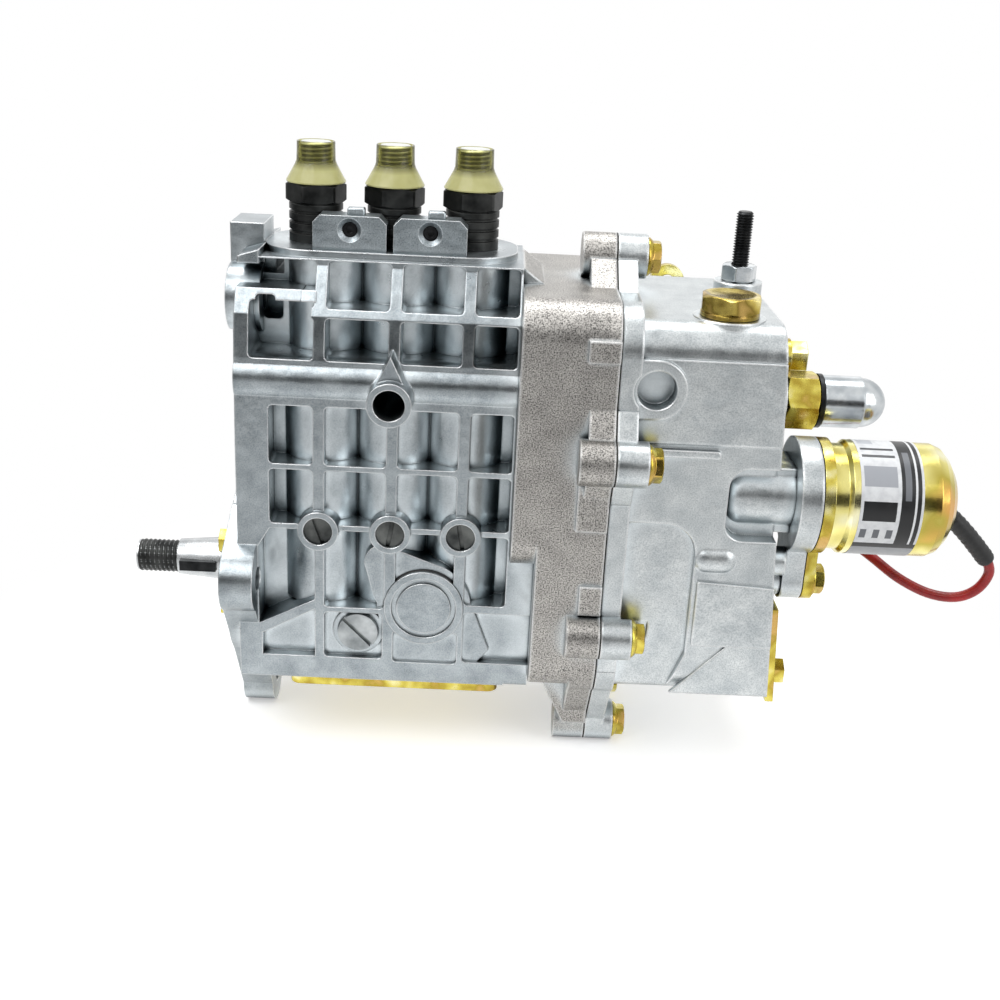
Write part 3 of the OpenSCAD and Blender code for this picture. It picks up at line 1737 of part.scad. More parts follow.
// Ring of points square to a path
function tube_ring(path, i, r) =
    let (w = path_way(path, i), side = unit(cross(w, [0.1, 1, 0.2])), up = cross(w, side))
    [for (k = [0:sweep_sides - 1]) path[i] + r * (cos(k * 360 / sweep_sides) * side
        + sin(k * 360 / sweep_sides) * up)];

// Tube of even thickness along a path
module swept_tube(path, r) {
    n = len(path);
    points = [for (i = [0:n - 1]) each tube_ring(path, i, r)];
    walls = [
        for (j = [0:n - 2])
            for (k = [0:sweep_sides - 1])
                let (a = j * sweep_sides + k, b = j * sweep_sides + (k + 1) % sweep_sides)
                [a, a + sweep_sides, b + sweep_sides, b]
    ];
    first = [for (k = [0:sweep_sides - 1]) k];
    last = [for (k = [sweep_sides - 1:-1:0]) (n - 1) * sweep_sides + k];
    polyhedron(points, concat([first], walls, [last]));
}

module lead_sleeve() {
    color(gasket_black)
    swept_tube([for (i = [0:lead_sleeve_points - 1]) LEAD_PATH[i] + [lead_shift, 0, 0]], lead_sleeve_r);
}

module lead_wires() {
    n = len(LEAD_PATH);
    color(lead_red)
    swept_tube([for (i = [lead_sleeve_points - 1:n - 1]) LEAD_PATH[i] + [lead_shift, 0, 0]], lead_r);
}

module lead_connector() {
    lap = 0.5;
    tip = LEAD_PATH[len(LEAD_PATH) - 1] + [lead_shift, 0, 0];
    color(gasket_black)
    translate(tip)
    box([-connector_h / 2, -lap, -connector_w / 2], [connector_h / 2, connector_len, connector_w / 2]);
}

module weight_carrier() {
    ear_half = 4;
    ear_z = weight_half_w + touch + fork_t / 2;
    color(bright_steel)
    difference() {
        union() {
            bar_x(carrier_x, carrier_x + carrier_t, 0, 0, carrier_r);
            for (s = [-1, 1])
                for (t = [-1, 1])
                    box([carrier_x, s * weight_pin_y - ear_half, t * ear_z - fork_t / 2],
                        [weight_pin_x + ear_half, s * weight_pin_y + ear_half, t * ear_z + fork_t / 2]);
        }
        bar_x(carrier_x - overcut, carrier_x + carrier_t + overcut, 0, 0, shaft_r);
        for (s = [-1, 1])
            translate([weight_pin_x, s * weight_pin_y, -carrier_r])
            cylinder(h = 2 * carrier_r, r = weight_pin_r + holder_fit);
    }
}

// One flyweight on the +Y side: its pin, its eye, the toe that pushes the collar and the mass
module flyweight() {
    pin_half = weight_half_w + touch + fork_t;
    toe_set = 1;
    color(bright_steel)
    translate([weight_pin_x, weight_pin_y, 0]) {
        translate([0, 0, -pin_half])
        cylinder(h = 2 * pin_half, r = weight_pin_r);
        translate([0, 0, -weight_half_w])
        cylinder(h = 2 * weight_half_w, r = weight_eye_r);
        box([-toe_t / 2, -toe_len, -weight_half_w + toe_set], [toe_t / 2, 0, weight_half_w - toe_set]);
        box([0, 0, -weight_half_w], [weight_eye_r + weight_len, weight_t, weight_half_w]);
    }
}

module flyweight_1() {
    flyweight();
}

module flyweight_2() {
    rotate([180, 0, 0])
    flyweight();
}

module governor_collar() {
    color(bright_steel)
    difference() {
        union() {
            bar_x(collar_x, collar_x + collar_len, 0, 0, collar_r);
            bar_x(collar_x, collar_x + collar_disc_t, 0, 0, collar_disc_r);
        }
        bar_x(collar_x - overcut, collar_x + collar_len + overcut, 0, 0, collar_bore_r);
    }
}

module governor_arm() {
    pivot_x = arm_x + arm_t / 2;
    bar_gap = 10;
    pin_in = 4;
    color(bright_steel) {
        along_x(arm_x, arm_x + arm_t)
        union() {
            translate([arm_y, arm_pivot_z])
            square([arm_w, arm_top_z - arm_pivot_z]);
            translate([-room_half_y + bar_gap, arm_pivot_z])
            square([2 * (room_half_y - bar_gap), 2 * arm_pivot_r]);
        }
        bar_y(-room_half_y - pin_in, room_half_y + pin_in, pivot_x, arm_pivot_z, arm_pivot_r);
    }
}

// Lever on a shaft that enters the far side of the cover
module side_lever(x, z, r, length, turn) {
    hub_t = 9;
    eye_hole_r = 3;
    hub_rim = 3;
    shaft_in = 10;
    color(plate_yellow)
    translate([x, 0, z])
    rotate([0, turn, 0]) {
        along_y(lever_hub_y, lever_hub_y + lever_t)
        difference() {
            union() {
                circle(lever_hub_r);
                translate([-lever_eye_r, 0])
                square([2 * lever_eye_r, length]);
                translate([0, length])
                circle(lever_eye_r);
            }
            translate([0, length])
            circle(eye_hole_r);
        }
        bar_y(lever_boss_y + lever_gap, lever_hub_y + hub_t, 0, 0, r + hub_rim);
        bar_y(cover_half_y - shaft_in, lever_hub_y, 0, 0, r);
    }
}

module speed_lever() {
    side_lever(lever_x, lever_z, lever_shaft_r, lever_len, -10);
}

module stop_lever() {
    side_lever(stop_x, stop_z, stop_shaft_r, stop_len, 60);
}

pump_body();
bottom_cover();
bottom_screws();
core_plug();
side_plug();
guide_screws();
camshaft();
shaft_key();
front_bearing();
rear_bearing();
oil_seal();
bearing_retainer();
retainer_bolts();
tappet_1();
tappet_2();
tappet_3();
plunger_1();
plunger_2();
plunger_3();
spring_1();
spring_2();
spring_3();
upper_seats();
barrels();
sleeve_1();
sleeve_2();
sleeve_3();
control_rack();
valve_holders();
delivery_valves();
lock_plates();
thread_caps();
governor_case();
seam_gasket();
governor_cover();
seam_bolts();
rear_plate();
rear_plate_bolts();
filler_plug();
idle_screw();
idle_nut();
limiter_nut();
limiter_washer();
limiter_cap();
shim_nut();
solenoid_flange();
solenoid_plate();
solenoid_can();
solenoid_bolts();
solenoid_rod();
lead_sleeve();
lead_wires();
lead_connector();
weight_carrier();
flyweight_1();
flyweight_2();
governor_collar();
governor_arm();
speed_lever();
stop_lever();
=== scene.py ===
# %% [markdown]
# # A diesel injection pump in Blender
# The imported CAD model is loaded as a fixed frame: every solid already lies in its real place,
# in metres. The origin is on the camshaft axis in the face of the mounting flange, +X runs to
# the governor and +Z up to the delivery valves. The lesson adds what a solid doesn't have:
# threads, chamfered hexagons, a bent lead, and the finish of every surface.

# %% Load the frame
import math
import bpy
import bmesh
from mathutils import Matrix, Vector


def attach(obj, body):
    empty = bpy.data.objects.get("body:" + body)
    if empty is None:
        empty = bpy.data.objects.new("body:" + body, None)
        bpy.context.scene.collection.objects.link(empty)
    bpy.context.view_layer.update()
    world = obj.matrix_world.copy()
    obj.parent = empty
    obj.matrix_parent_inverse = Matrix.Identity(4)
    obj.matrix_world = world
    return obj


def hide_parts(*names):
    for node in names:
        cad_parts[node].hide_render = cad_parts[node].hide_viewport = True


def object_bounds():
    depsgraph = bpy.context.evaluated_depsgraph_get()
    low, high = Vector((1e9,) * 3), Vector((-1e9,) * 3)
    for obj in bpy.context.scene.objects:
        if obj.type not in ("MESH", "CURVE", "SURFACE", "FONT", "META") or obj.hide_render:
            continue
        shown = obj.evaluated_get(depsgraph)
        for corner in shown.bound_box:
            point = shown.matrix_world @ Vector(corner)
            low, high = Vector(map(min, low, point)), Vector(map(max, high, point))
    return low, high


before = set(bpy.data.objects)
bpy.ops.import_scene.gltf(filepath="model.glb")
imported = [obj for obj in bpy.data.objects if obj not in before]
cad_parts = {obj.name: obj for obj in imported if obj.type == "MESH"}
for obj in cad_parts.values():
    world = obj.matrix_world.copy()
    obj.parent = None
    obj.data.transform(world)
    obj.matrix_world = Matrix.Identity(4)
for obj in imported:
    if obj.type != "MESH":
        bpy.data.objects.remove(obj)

CAD_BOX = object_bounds()
MM = 0.001

# %% [markdown]
# ## The camera
# The photograph was measured on the solids: the pump stands square to the camera, which looks
# down on it by about 21 degrees from a little over half a metre, and the picture hangs about
# three degrees to the right. A camera object could be aimed with a constraint, but a rotation
# that is worked out once keeps the roll in the same place.

# %% Camera
LOOK_AT = Vector((0.09998, 0.0, 0.02993))
DISTANCE = 0.5053
AZIMUTH, ELEVATION, ROLL = (math.radians(a) for a in (-0.772, 21.145, 2.917))
PIXELS, FOCAL_PIXELS, SENSOR = 1000, 1300, 36
NEAR_CLIP = 0.01

camera_data = bpy.data.cameras.new("camera")
camera_data.sensor_width = SENSOR
camera_data.lens = SENSOR * FOCAL_PIXELS / PIXELS
camera_data.clip_start = NEAR_CLIP
camera = bpy.data.objects.new("camera", camera_data)
bpy.context.collection.objects.link(camera)
away = Vector((math.sin(AZIMUTH) * math.cos(ELEVATION), -math.cos(AZIMUTH) * math.cos(ELEVATION),
               math.sin(ELEVATION)))
camera.location = LOOK_AT + DISTANCE * away
turn = (-away).to_track_quat("-Z", "Y").to_matrix().to_4x4()
camera.matrix_world = Matrix.Translation(camera.location) @ turn @ Matrix.Rotation(ROLL, 4, "Z")
bpy.context.scene.camera = camera
print("camera at", [round(v, 4) for v in camera.matrix_world.translation], "lens", camera_data.lens)

# %% [markdown]
# ## Making meshes
# Every piece is a mesh made from points and faces. One helper turns rows of points into a
# skin, one joins several skins, and one makes an object of them whose sharp edges stay sharp
# while its round faces shade smooth. A matrix puts a piece in its place: it moves the origin
# to a point, given in millimetres, and turns the piece's own Z to the way that it faces.

# %% Mesh helpers
SHARP_ANGLE = math.radians(32)
MERGE_DISTANCE = 1e-6
UP, RIGHT, LEFT, FRONT = (0, 0, 1), (1, 0, 0), (-1, 0, 0), (0, -1, 0)


def mesh_object(name, points, faces, body="housing"):
    mesh = bpy.data.meshes.new(name)
    mesh.from_pydata([tuple(p) for p in points], [], faces)
    shape = bmesh.new()
    shape.from_mesh(mesh)
    bmesh.ops.remove_doubles(shape, verts=shape.verts, dist=MERGE_DISTANCE)
    bmesh.ops.recalc_face_normals(shape, faces=shape.faces)
    for face in shape.faces:
        face.smooth = True
    for edge in shape.edges:
        edge.smooth = len(edge.link_faces) == 2 and edge.calc_face_angle(0) < SHARP_ANGLE
    shape.to_mesh(mesh)
    shape.free()
    piece = bpy.data.objects.new(name, mesh)
    bpy.context.collection.objects.link(piece)
    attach(piece, body)
    return piece


def skin(rows, close_rows=True, caps=True):
    count = len(rows[0])
    points = [p for row in rows for p in row]
    faces = []
    for j in range(len(rows) - 1):
        for k in range(count if close_rows else count - 1):
            a, b = j * count + k, j * count + (k + 1) % count
            faces.append((a, b, b + count, a + count))
    if caps:
        faces.append(tuple(range(count))[::-1])
        faces.append(tuple((len(rows) - 1) * count + k for k in range(count)))
    return points, faces


def joined(name, parts):
    points, faces = [], []
    for part_points, part_faces in parts:
        start = len(points)
        points += part_points
        faces += [tuple(i + start for i in face) for face in part_faces]
    return mesh_object(name, points, faces)


def along(origin_mm, direction=UP):
    way = Vector(direction).normalized()
    origin = Vector([v * MM for v in origin_mm])
    return Matrix.Translation(origin) @ way.to_track_quat("Z", "Y").to_matrix().to_4x4()


def raised(matrix, lift_mm):
    return matrix @ Matrix.Translation((0, 0, lift_mm * MM))


# %% [markdown]
# A turned part is a profile spun about its axis. The profile is given in millimetres as pairs
# of radius and height, the way that a drawing of a turned part gives it. A profile that reaches
# the axis stops a hair beside it, so that its last ring is still a ring.

# %% Turned parts
AXIS_R = 0.02


def ring(steps, profile_at, matrix):
    points = []
    for k in range(steps):
        r, h = profile_at(k)
        a = 2 * math.pi * k / steps
        points.append(matrix @ Vector((r * MM * math.cos(a), r * MM * math.sin(a), h * MM)))
    return points


def turned(profile, matrix, steps=64, caps=True):
    return skin([ring(steps, lambda k: (r, h), matrix) for r, h in profile], caps=caps)


# %% [markdown]
# A thread is a long ridge wound round a core. Sweeping a triangle along a helix works, but a
# plain sleeve whose radius rises and falls with height and angle gives the same surface with
# no seams. Its tip is cut back at 45 degrees, and its foot fades into the run-out that a die
# leaves.

# %% Threads
STEPS_PER_PITCH = 8
CREST_LEVEL, FLANK_SLOPE = 1.25, 3.2
TIP_CHAMFER, RUN_OUT_SLOPE = 0.9, 0.4


def threaded(radius, pitch, length, matrix, steps=56, depth_share=0.58):
    depth = depth_share * pitch
    count = int(length / pitch * STEPS_PER_PITCH)

    def profile(k, h):
        phase = (h / pitch - k / steps) % 1
        rise = min(1.0, max(0.0, CREST_LEVEL - abs(phase - 0.5) * FLANK_SLOPE))
        tip = max(0.0, h - (length - TIP_CHAMFER))
        foot = max(0.0, TIP_CHAMFER - h) * RUN_OUT_SLOPE
        return min(radius - depth + depth * rise, radius - tip - foot), h

    heights = [length * j / count for j in range(count + 1)]
    return skin([ring(steps, lambda k: profile(k, h), matrix) for h in heights])


# %% [markdown]
# The hexagon of a nut or bolt has its corners cut back by a cone, which leaves a curved line
# on each flat. The top ring of the mesh follows that cone, so the line comes by itself. A
# pressed head has a shallow dish on top.

# %% Hexagons
CHAMFER_ANGLE = math.radians(30)
RIM_SHARE = 0.97
DISH_SHARES = (0.86, 0.74)


def hexagon(corner, height, matrix, bore=0.0, chamfer_both=False, turn=0.0, dish=0.0, steps=72):
    flat = corner * math.cos(math.radians(30))
    rim = flat * RIM_SHARE
    slope = math.tan(CHAMFER_ANGLE)
    inner = max(bore, AXIS_R)

    def radius(k):
        a = (360 * k / steps - turn) % 60 - 30
        return flat / math.cos(math.radians(a))

    def cut(k):
        return (radius(k) - rim) * slope

    rows = [lambda k: (inner, 0.0)]
    if chamfer_both:
        rows.append(lambda k: (rim, 0.0))
    rows += [lambda k: (radius(k), cut(k) if chamfer_both else 0.0),
             lambda k: (radius(k), height - cut(k)),
             lambda k: (rim, height)]
    if dish:
        rows += [lambda k: (rim * DISH_SHARES[0], height),
                 lambda k: (rim * DISH_SHARES[1], height - dish)]
    rows.append(lambda k: (inner, height - dish))
    return skin([ring(steps, row, matrix) for row in rows], caps=bore == 0.0)


# %% [markdown]
# ## The solenoid lead
# A sleeve of black PVC leaves the can's nose and keeps the wires together. Below it the red
# wire hangs in a loose bow under the can and goes back to its connector behind it. A cord like
# this has one fixed length, so it is swept along the same points as its CAD solid, smoothed by
# a curve through them. The sleeve has a slight ripple and steps in at its mouth.

# %% Lead
LEAD = [(258.9, -32, 44), (260.9, -32, 43.4), (266.6, -31.6, 38.2), (272.2, -31, 32.4),
        (277.4, -30.2, 26.6), (279.6, -29, 20.5), (276.5, -28, 13.5), (270, -26, 9.2), (261, -22, 8.6),
        (251, -16, 11.6), (242, -8, 16.5), (234, 0, 20.5), (226, 7, 23.5), (217.5, 12.5, 26),
        (209.5, 17.5, 27.5), (203.5, 23.5, 28), (201.8, 31, 28)]
LEAD_SHIFT = Vector((3, 0, 0))
SLEEVE_POINTS = 5
WIRE_R, SLEEVE_R = 1.9, 3.3
RIPPLE, RIPPLE_RADIANS = 0.16, 120
MOUTH_SHARE, MOUTH_STEP = 0.985, 0.5
WIRE_STEPS, SLEEVE_STEPS = 5, 8
FIRST_SIDE = Vector((0, 1, 0.2))


def smooth_path(points, steps):
    points = [Vector(p) for p in points]
    ends = [2 * points[0] - points[1]] + points + [2 * points[-1] - points[-2]]
    path = []
    for i in range(1, len(ends) - 2):
        p0, p1, p2, p3 = ends[i - 1:i + 3]
        for s in range(steps):
            t = s / steps
            path.append(0.5 * (2 * p1 + (p2 - p0) * t + (2 * p0 - 5 * p1 + 4 * p2 - p3) * t * t
                               + (3 * p1 - p0 - 3 * p2 + p3) * t ** 3))
    return path + [points[-1]]


def tube(path, radius_of, steps=20):
    rows, side = [], FIRST_SIDE
    for i, p in enumerate(path):
        way = (path[min(i + 1, len(path) - 1)] - path[max(i - 1, 0)]).normalized()
        side = (side - way * side.dot(way)).normalized()
        up = way.cross(side)
        r = radius_of(i / (len(path) - 1))
        rows.append([(p + r * (math.cos(2 * math.pi * k / steps) * side
                               + math.sin(2 * math.pi * k / steps) * up)) * MM for k in range(steps)])
    return skin(rows)


def sleeve_radius(t):
    return SLEEVE_R + RIPPLE * math.sin(t * RIPPLE_RADIANS) - (MOUTH_STEP if t > MOUTH_SHARE else 0)


lead_points = [Vector(p) + LEAD_SHIFT for p in LEAD]
lead_path = smooth_path(lead_points, WIRE_STEPS)
sleeve_path = smooth_path(lead_points[:SLEEVE_POINTS], SLEEVE_STEPS)
wire = mesh_object("solenoid_wire_red", *tube(lead_path, lambda t: WIRE_R))
sleeve = mesh_object("solenoid_lead_sleeve", *tube(sleeve_path, sleeve_radius))

# %% [markdown]
# The wire ends in a small moulded connector on the end wall of the governor cover, out of the
# camera's sight. It is a nylon box with a rear boot and a locking rib. Each is a box whose
# corners are cut, given by two corners from the wire's tip and the size of the cut.

# %% Connector
CONNECTOR = [((-5.5, 4, -8), (5.5, 22, 8), 0.8),
             ((-4.4, -0.5, -6.6), (4.4, 4.2, 6.6), 0.8),
             ((5.2, 8, -2.5), (6.6, 18, 2.5), 0.4)]


def box_part(low, high, cut):
    (x0, y0, z0), (x1, y1, z1) = low, high
    rows = []
    for y, inset in ((y0, cut), (y0 + cut, 0), (y1 - cut, 0), (y1, cut)):
        left, right, floor, top = x0 + inset, x1 - inset, z0 + inset, z1 - inset
        outline = [(left + cut, floor), (right - cut, floor), (right, floor + cut), (right, top - cut),
                   (right - cut, top), (left + cut, top), (left, top - cut), (left, floor + cut)]
        rows.append([(x * MM, y * MM, z * MM) for x, z in outline])
    return skin(rows)


def from_tip(offset):
    return [t + d for t, d in zip(lead_points[-1], offset)]


connector = joined("solenoid_connector",
                   [box_part(from_tip(low), from_tip(high), cut) for low, high, cut in CONNECTOR])
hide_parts("lead_connector")
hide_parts("lead_sleeve")
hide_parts("lead_wires")
print("connector faces:", len(connector.data.polygons))

# %% [markdown]
# ## Materials
# Colours are written as sRGB hex, the way that a colour picker shows them, and one function
# turns them into the linear numbers that the shader uses. One more function adds a node, sets
# its inputs and links it. Each pattern's size is given in real millimetres.

# %% Colour and node helpers
def linear(hex_colour):
    channels = [int(hex_colour[i:i + 2], 16) / 255 for i in (1, 3, 5)]
    return tuple(c / 12.92 if c <= 0.04045 else ((c + 0.055) / 1.055) ** 2.4 for c in channels) + (1.0,)


def add(tree, kind, inputs=None, ramp=None, **settings):
    node = tree.nodes.new(kind)
    for key, value in settings.items():
        setattr(node, key, value)
    for key, value in (inputs or {}).items():
        if isinstance(value, bpy.types.NodeSocket):
            tree.links.new(value, node.inputs[key])
        else:
            node.inputs[key].default_value = value
    if ramp:
        elements = node.color_ramp.elements
        while len(elements) < len(ramp):
            elements.new(0.5)
        for element, (position, colour) in zip(elements, ramp):
            element.position = position
            element.color = linear(colour)
    return node


def new_material(name, **sockets):
    material = bpy.data.materials.new(name)
    material.use_nodes = True
    shader = material.node_tree.nodes["Principled BSDF"]
    for key, value in sockets.items():
        shader.inputs[key.replace("_", " ")].default_value = value
    return material, material.node_tree, shader


def waves_per_metre(size_mm):
    return 1 / (size_mm * MM)


# %% [markdown]
# ### Layers and relief
# A surface's colour is a stack of layers, each laid over the last: grain, wear, print, and in
# the cast metals painted shade and painted highlight. The colour sockets of the Mix node share
# their names with its other kinds, so they are picked by number. The finer finishes take their
# roughness and their small bumps from one noise.

# %% Layers and relief
MIX_FACTOR, MIX_FIRST, MIX_SECOND, MIX_RESULT = 0, 6, 7, 2


def layered(tree, colour, layers):
    for factor, layer, blend in layers:
        mixed = add(tree, "ShaderNodeMix", {MIX_FACTOR: factor, MIX_FIRST: colour, MIX_SECOND: layer},
                    data_type="RGBA", blend_type=blend)
        colour = mixed.outputs[MIX_RESULT]
    return colour


def relief(tree, shader, height, rough_range, strength, depth_mm, **normal):
    low, high = rough_range
    rough = add(tree, "ShaderNodeMapRange", {"Value": height, "To Min": low, "To Max": high})
    tree.links.new(rough.outputs["Result"], shader.inputs["Roughness"])
    bump = add(tree, "ShaderNodeBump", {"Strength": strength, "Distance": depth_mm * MM,
                                        "Height": height, **normal})
    tree.links.new(bump.outputs["Normal"], shader.inputs["Normal"])


# %% [markdown]
# ### Die-cast aluminium, tumbled
# The housing comes out of a steel die and is tumbled with small stones. That leaves a satin
# skin whose grey drifts over about 9 mm, a fine grain and shallow dents. Its edges are painted
# nearly white, partly the stones' wear and partly a painted highlight. Two ambient-occlusion
# distances paint shade into the colour: a wide one darkens the pockets and a close one draws a
# dark line at the foot of each rib. Faces that lie a little sunk get a painted sheen that makes
# them paler. The edge colour comes from a bevelled normal compared with the true one, and only
# where the close occlusion says that the edge stands free. The sand-cast governor case, the
# cover and the lock plates are made the same way, with a grain, greys and edges of their own.

# %% Cast aluminium
FLOW_MM, DENT_MM, DENT_DEPTH = 9, 4.5, 0.35
POCKET_REACH, RIB_FOOT_REACH = 16, 2.2


def cast_metal(name, light, mid, painted_pocket_shade, speckle, grain_mm, grain_depth, roughness, edge_mm):
    material, tree, shader = new_material(name, Metallic=1.0)
    place_on = add(tree, "ShaderNodeTexCoord").outputs["Object"]
    flow = add(tree, "ShaderNodeTexNoise", {"Vector": place_on, "Scale": waves_per_metre(FLOW_MM),
                                            "Detail": 5.0, "Roughness": 0.62})
    grey = add(tree, "ShaderNodeValToRGB", {"Fac": flow.outputs["Fac"]}, ramp=[(0.28, mid), (0.70, light)])
    grain = add(tree, "ShaderNodeTexNoise", {"Vector": place_on, "Scale": waves_per_metre(grain_mm),
                                             "Detail": 2.0, "Roughness": 0.6})
    pits = add(tree, "ShaderNodeValToRGB", {"Fac": grain.outputs["Fac"]},
               ramp=[(0.30, speckle), (0.60, "#FFFFFF")])
    # Painted shade and sheen: the wide occlusion paints pockets dark and faces a little sunk paler.
    wide = add(tree, "ShaderNodeAmbientOcclusion", {"Distance": POCKET_REACH * MM}, samples=8)
    # Painted sheen: faces a little sunk are mixed towards a pale grey.
    painted_recess_sheen = add(tree, "ShaderNodeMapRange", {"Value": wide.outputs["AO"], "From Min": 0.78,
                                            "From Max": 0.5, "To Min": 0.0, "To Max": 0.8})
    shade = add(tree, "ShaderNodeValToRGB", {"Fac": wide.outputs["AO"]},
                ramp=[(0.12, painted_pocket_shade), (0.50, "#FFFFFF")])
    # Painted shade: the close occlusion draws a dark line at the foot of each rib.
    close = add(tree, "ShaderNodeAmbientOcclusion", {"Distance": RIB_FOOT_REACH * MM}, samples=8)
    rib_foot_shade = add(tree, "ShaderNodeValToRGB", {"Fac": close.outputs["AO"]},
               ramp=[(0.30, "#3A4549"), (0.72, "#FFFFFF")])
    # Edges painted nearly white: partly wear, partly a painted highlight, on free edges only.
    round_edge = add(tree, "ShaderNodeBevel", {"Radius": edge_mm * MM}, samples=6)
    true_face = add(tree, "ShaderNodeNewGeometry").outputs["Normal"]
    bend = add(tree, "ShaderNodeVectorMath", {0: round_edge.outputs["Normal"], 1: true_face},
               operation="DOT_PRODUCT")
    worn_and_highlit_edge = add(tree, "ShaderNodeMapRange", {"Value": bend.outputs["Value"], "From Min": 0.985,
                                              "From Max": 0.80, "To Min": 0.0, "To Max": 0.8})
    free = add(tree, "ShaderNodeMapRange", {"Value": close.outputs["AO"], "From Min": 0.6,
                                            "From Max": 0.95})
    worn_and_highlit_free_edge = add(tree, "ShaderNodeMath", {0: worn_and_highlit_edge.outputs["Result"], 1: free.outputs["Result"]},
                      operation="MULTIPLY")
    colour = layered(tree, grey.outputs["Color"], [
        (1.0, pits.outputs["Color"], "MULTIPLY"),
        (painted_recess_sheen.outputs["Result"], linear("#DCE3E6"), "MIX"),
        (1.0, shade.outputs["Color"], "MULTIPLY"),
        (1.0, rib_foot_shade.outputs["Color"], "MULTIPLY"),
        (worn_and_highlit_free_edge.outputs[0], linear("#FBFCFC"), "MIX")])
    tree.links.new(colour, shader.inputs["Base Color"])
    rough = add(tree, "ShaderNodeMapRange", {"Value": flow.outputs["Fac"], "To Min": roughness - 0.1,
                                             "To Max": roughness + 0.12})
    tree.links.new(rough.outputs["Result"], shader.inputs["Roughness"])
    dents = add(tree, "ShaderNodeTexNoise", {"Vector": place_on, "Scale": waves_per_metre(DENT_MM),
                                             "Detail": 1.0})
    hollows = add(tree, "ShaderNodeBump", {"Strength": 0.5, "Distance": DENT_DEPTH * MM,
                                           "Height": dents.outputs["Fac"],
                                           "Normal": round_edge.outputs["Normal"]})
    bump = add(tree, "ShaderNodeBump", {"Strength": 0.5, "Distance": grain_depth * MM,
                                        "Height": grain.outputs["Fac"],
                                        "Normal": hollows.outputs["Normal"]})
    tree.links.new(bump.outputs["Normal"], shader.inputs["Normal"])
    print(name, len(tree.nodes), "nodes")
    return material


# The fourth colour of each metal is its painted pocket shade.
die_cast = cast_metal("die_cast_aluminium_tumbled", "#B2B8BB", "#8A9195", "#3E5057", "#D6DADC",
                      grain_mm=0.5, grain_depth=0.07, roughness=0.30, edge_mm=0.8)
sand_cast = cast_metal("sand_cast_aluminium_blasted", "#C8C5C0", "#ABA8A4", "#4A5052", "#4E4F50",
                       grain_mm=0.5, grain_depth=0.16, roughness=0.42, edge_mm=1.6)
cover_cast = cast_metal("gravity_cast_aluminium_satin", "#D4D7D7", "#B2B7B9", "#545D61", "#D2D6D8",
                        grain_mm=0.5, grain_depth=0.06, roughness=0.34, edge_mm=1.4)
plate_steel = cast_metal("sintered_steel_plate", "#BCC4C8", "#A0A9AE", "#48535A", "#B4BABD",
                         grain_mm=0.5, grain_depth=0.05, roughness=0.34, edge_mm=0.5)

# %% [markdown]
# ### Yellow zinc-chromate plated steel
# Bolts, plates and the solenoid can are zinc plated and dipped in chromate. The film is so
# thin that its colour drifts between straw, olive and pink over a few millimetres, so the
# colour comes from a broad noise through a ramp, over a metal with a smooth but not polished
# surface. Clear plated nuts have no colour, only a drift of their grey.

# %% Zinc chromate
def plated(name, tints, patch_mm, roughness):
    material, tree, shader = new_material(name, Metallic=1.0)
    place_on = add(tree, "ShaderNodeTexCoord").outputs["Object"]
    film = add(tree, "ShaderNodeTexNoise", {"Vector": place_on, "Scale": waves_per_metre(patch_mm),
                                            "Detail": 2.0, "Roughness": 0.5})
    colour = add(tree, "ShaderNodeValToRGB", {"Fac": film.outputs["Fac"]},
                 ramp=[(0.30 + 0.40 * i / (len(tints) - 1), tint) for i, tint in enumerate(tints)])
    tree.links.new(colour.outputs["Color"], shader.inputs["Base Color"])
    fine = add(tree, "ShaderNodeTexNoise", {"Vector": place_on, "Scale": waves_per_metre(1.2),
                                            "Detail": 3.0})
    round_edge = add(tree, "ShaderNodeBevel", {"Radius": 0.4 * MM}, samples=6)
    relief(tree, shader, fine.outputs["Fac"], (roughness - 0.07, roughness + 0.1), strength=0.25,
           depth_mm=0.05, Normal=round_edge.outputs["Normal"])
    print(name, len(tree.nodes), "nodes")
    return material


zinc_yellow = plated("yellow_zinc_chromate_steel", ["#E4DCA0", "#CDBE5A", "#A8923A", "#C9A562"], 9, 0.24)
zinc_can = plated("yellow_zinc_chromate_drawn_can", ["#F9F6D6", "#E8DE90", "#BAAB50", "#DAA85E"],
                  22, 0.19)
zinc_dark = plated("olive_zinc_chromate_steel", ["#EADC98", "#C0AB5A", "#806C30", "#C2A160"], 10, 0.24)
bright_zinc = plated("clear_zinc_plated_steel", ["#D9DCDD", "#BFC4C7", "#A4AAAE"], 8, 0.2)

# %% [markdown]
# ### Turned and ground steel
# Shafts, screws and bearings are turned or ground. The tool leaves fine rings round the axis.
# A grain of 0.3 to 0.5 mm stands for them, because the real ones are too fine for the render
# to show. The grooves of the delivery threads get a painted shade, so only their crests are
# bright: a short ambient occlusion finds the grooves.

# %% Steels
def turned_steel(name, light, dark, grain_mm, roughness):
    material, tree, shader = new_material(name, Metallic=1.0)
    place_on = add(tree, "ShaderNodeTexCoord").outputs["Object"]
    grain = add(tree, "ShaderNodeTexNoise", {"Vector": place_on, "Scale": waves_per_metre(grain_mm),
                                             "Detail": 1.0})
    stain = add(tree, "ShaderNodeTexNoise", {"Vector": place_on, "Scale": waves_per_metre(7),
                                             "Detail": 3.0})
    colour = add(tree, "ShaderNodeValToRGB", {"Fac": stain.outputs["Fac"]},
                 ramp=[(0.3, dark), (0.7, light)])
    tree.links.new(colour.outputs["Color"], shader.inputs["Base Color"])
    round_edge = add(tree, "ShaderNodeBevel", {"Radius": 0.3 * MM}, samples=6)
    relief(tree, shader, grain.outputs["Fac"], (roughness - 0.06, roughness + 0.12), strength=0.2,
           depth_mm=0.03, Normal=round_edge.outputs["Normal"])
    print(name, len(tree.nodes), "nodes")
    return material


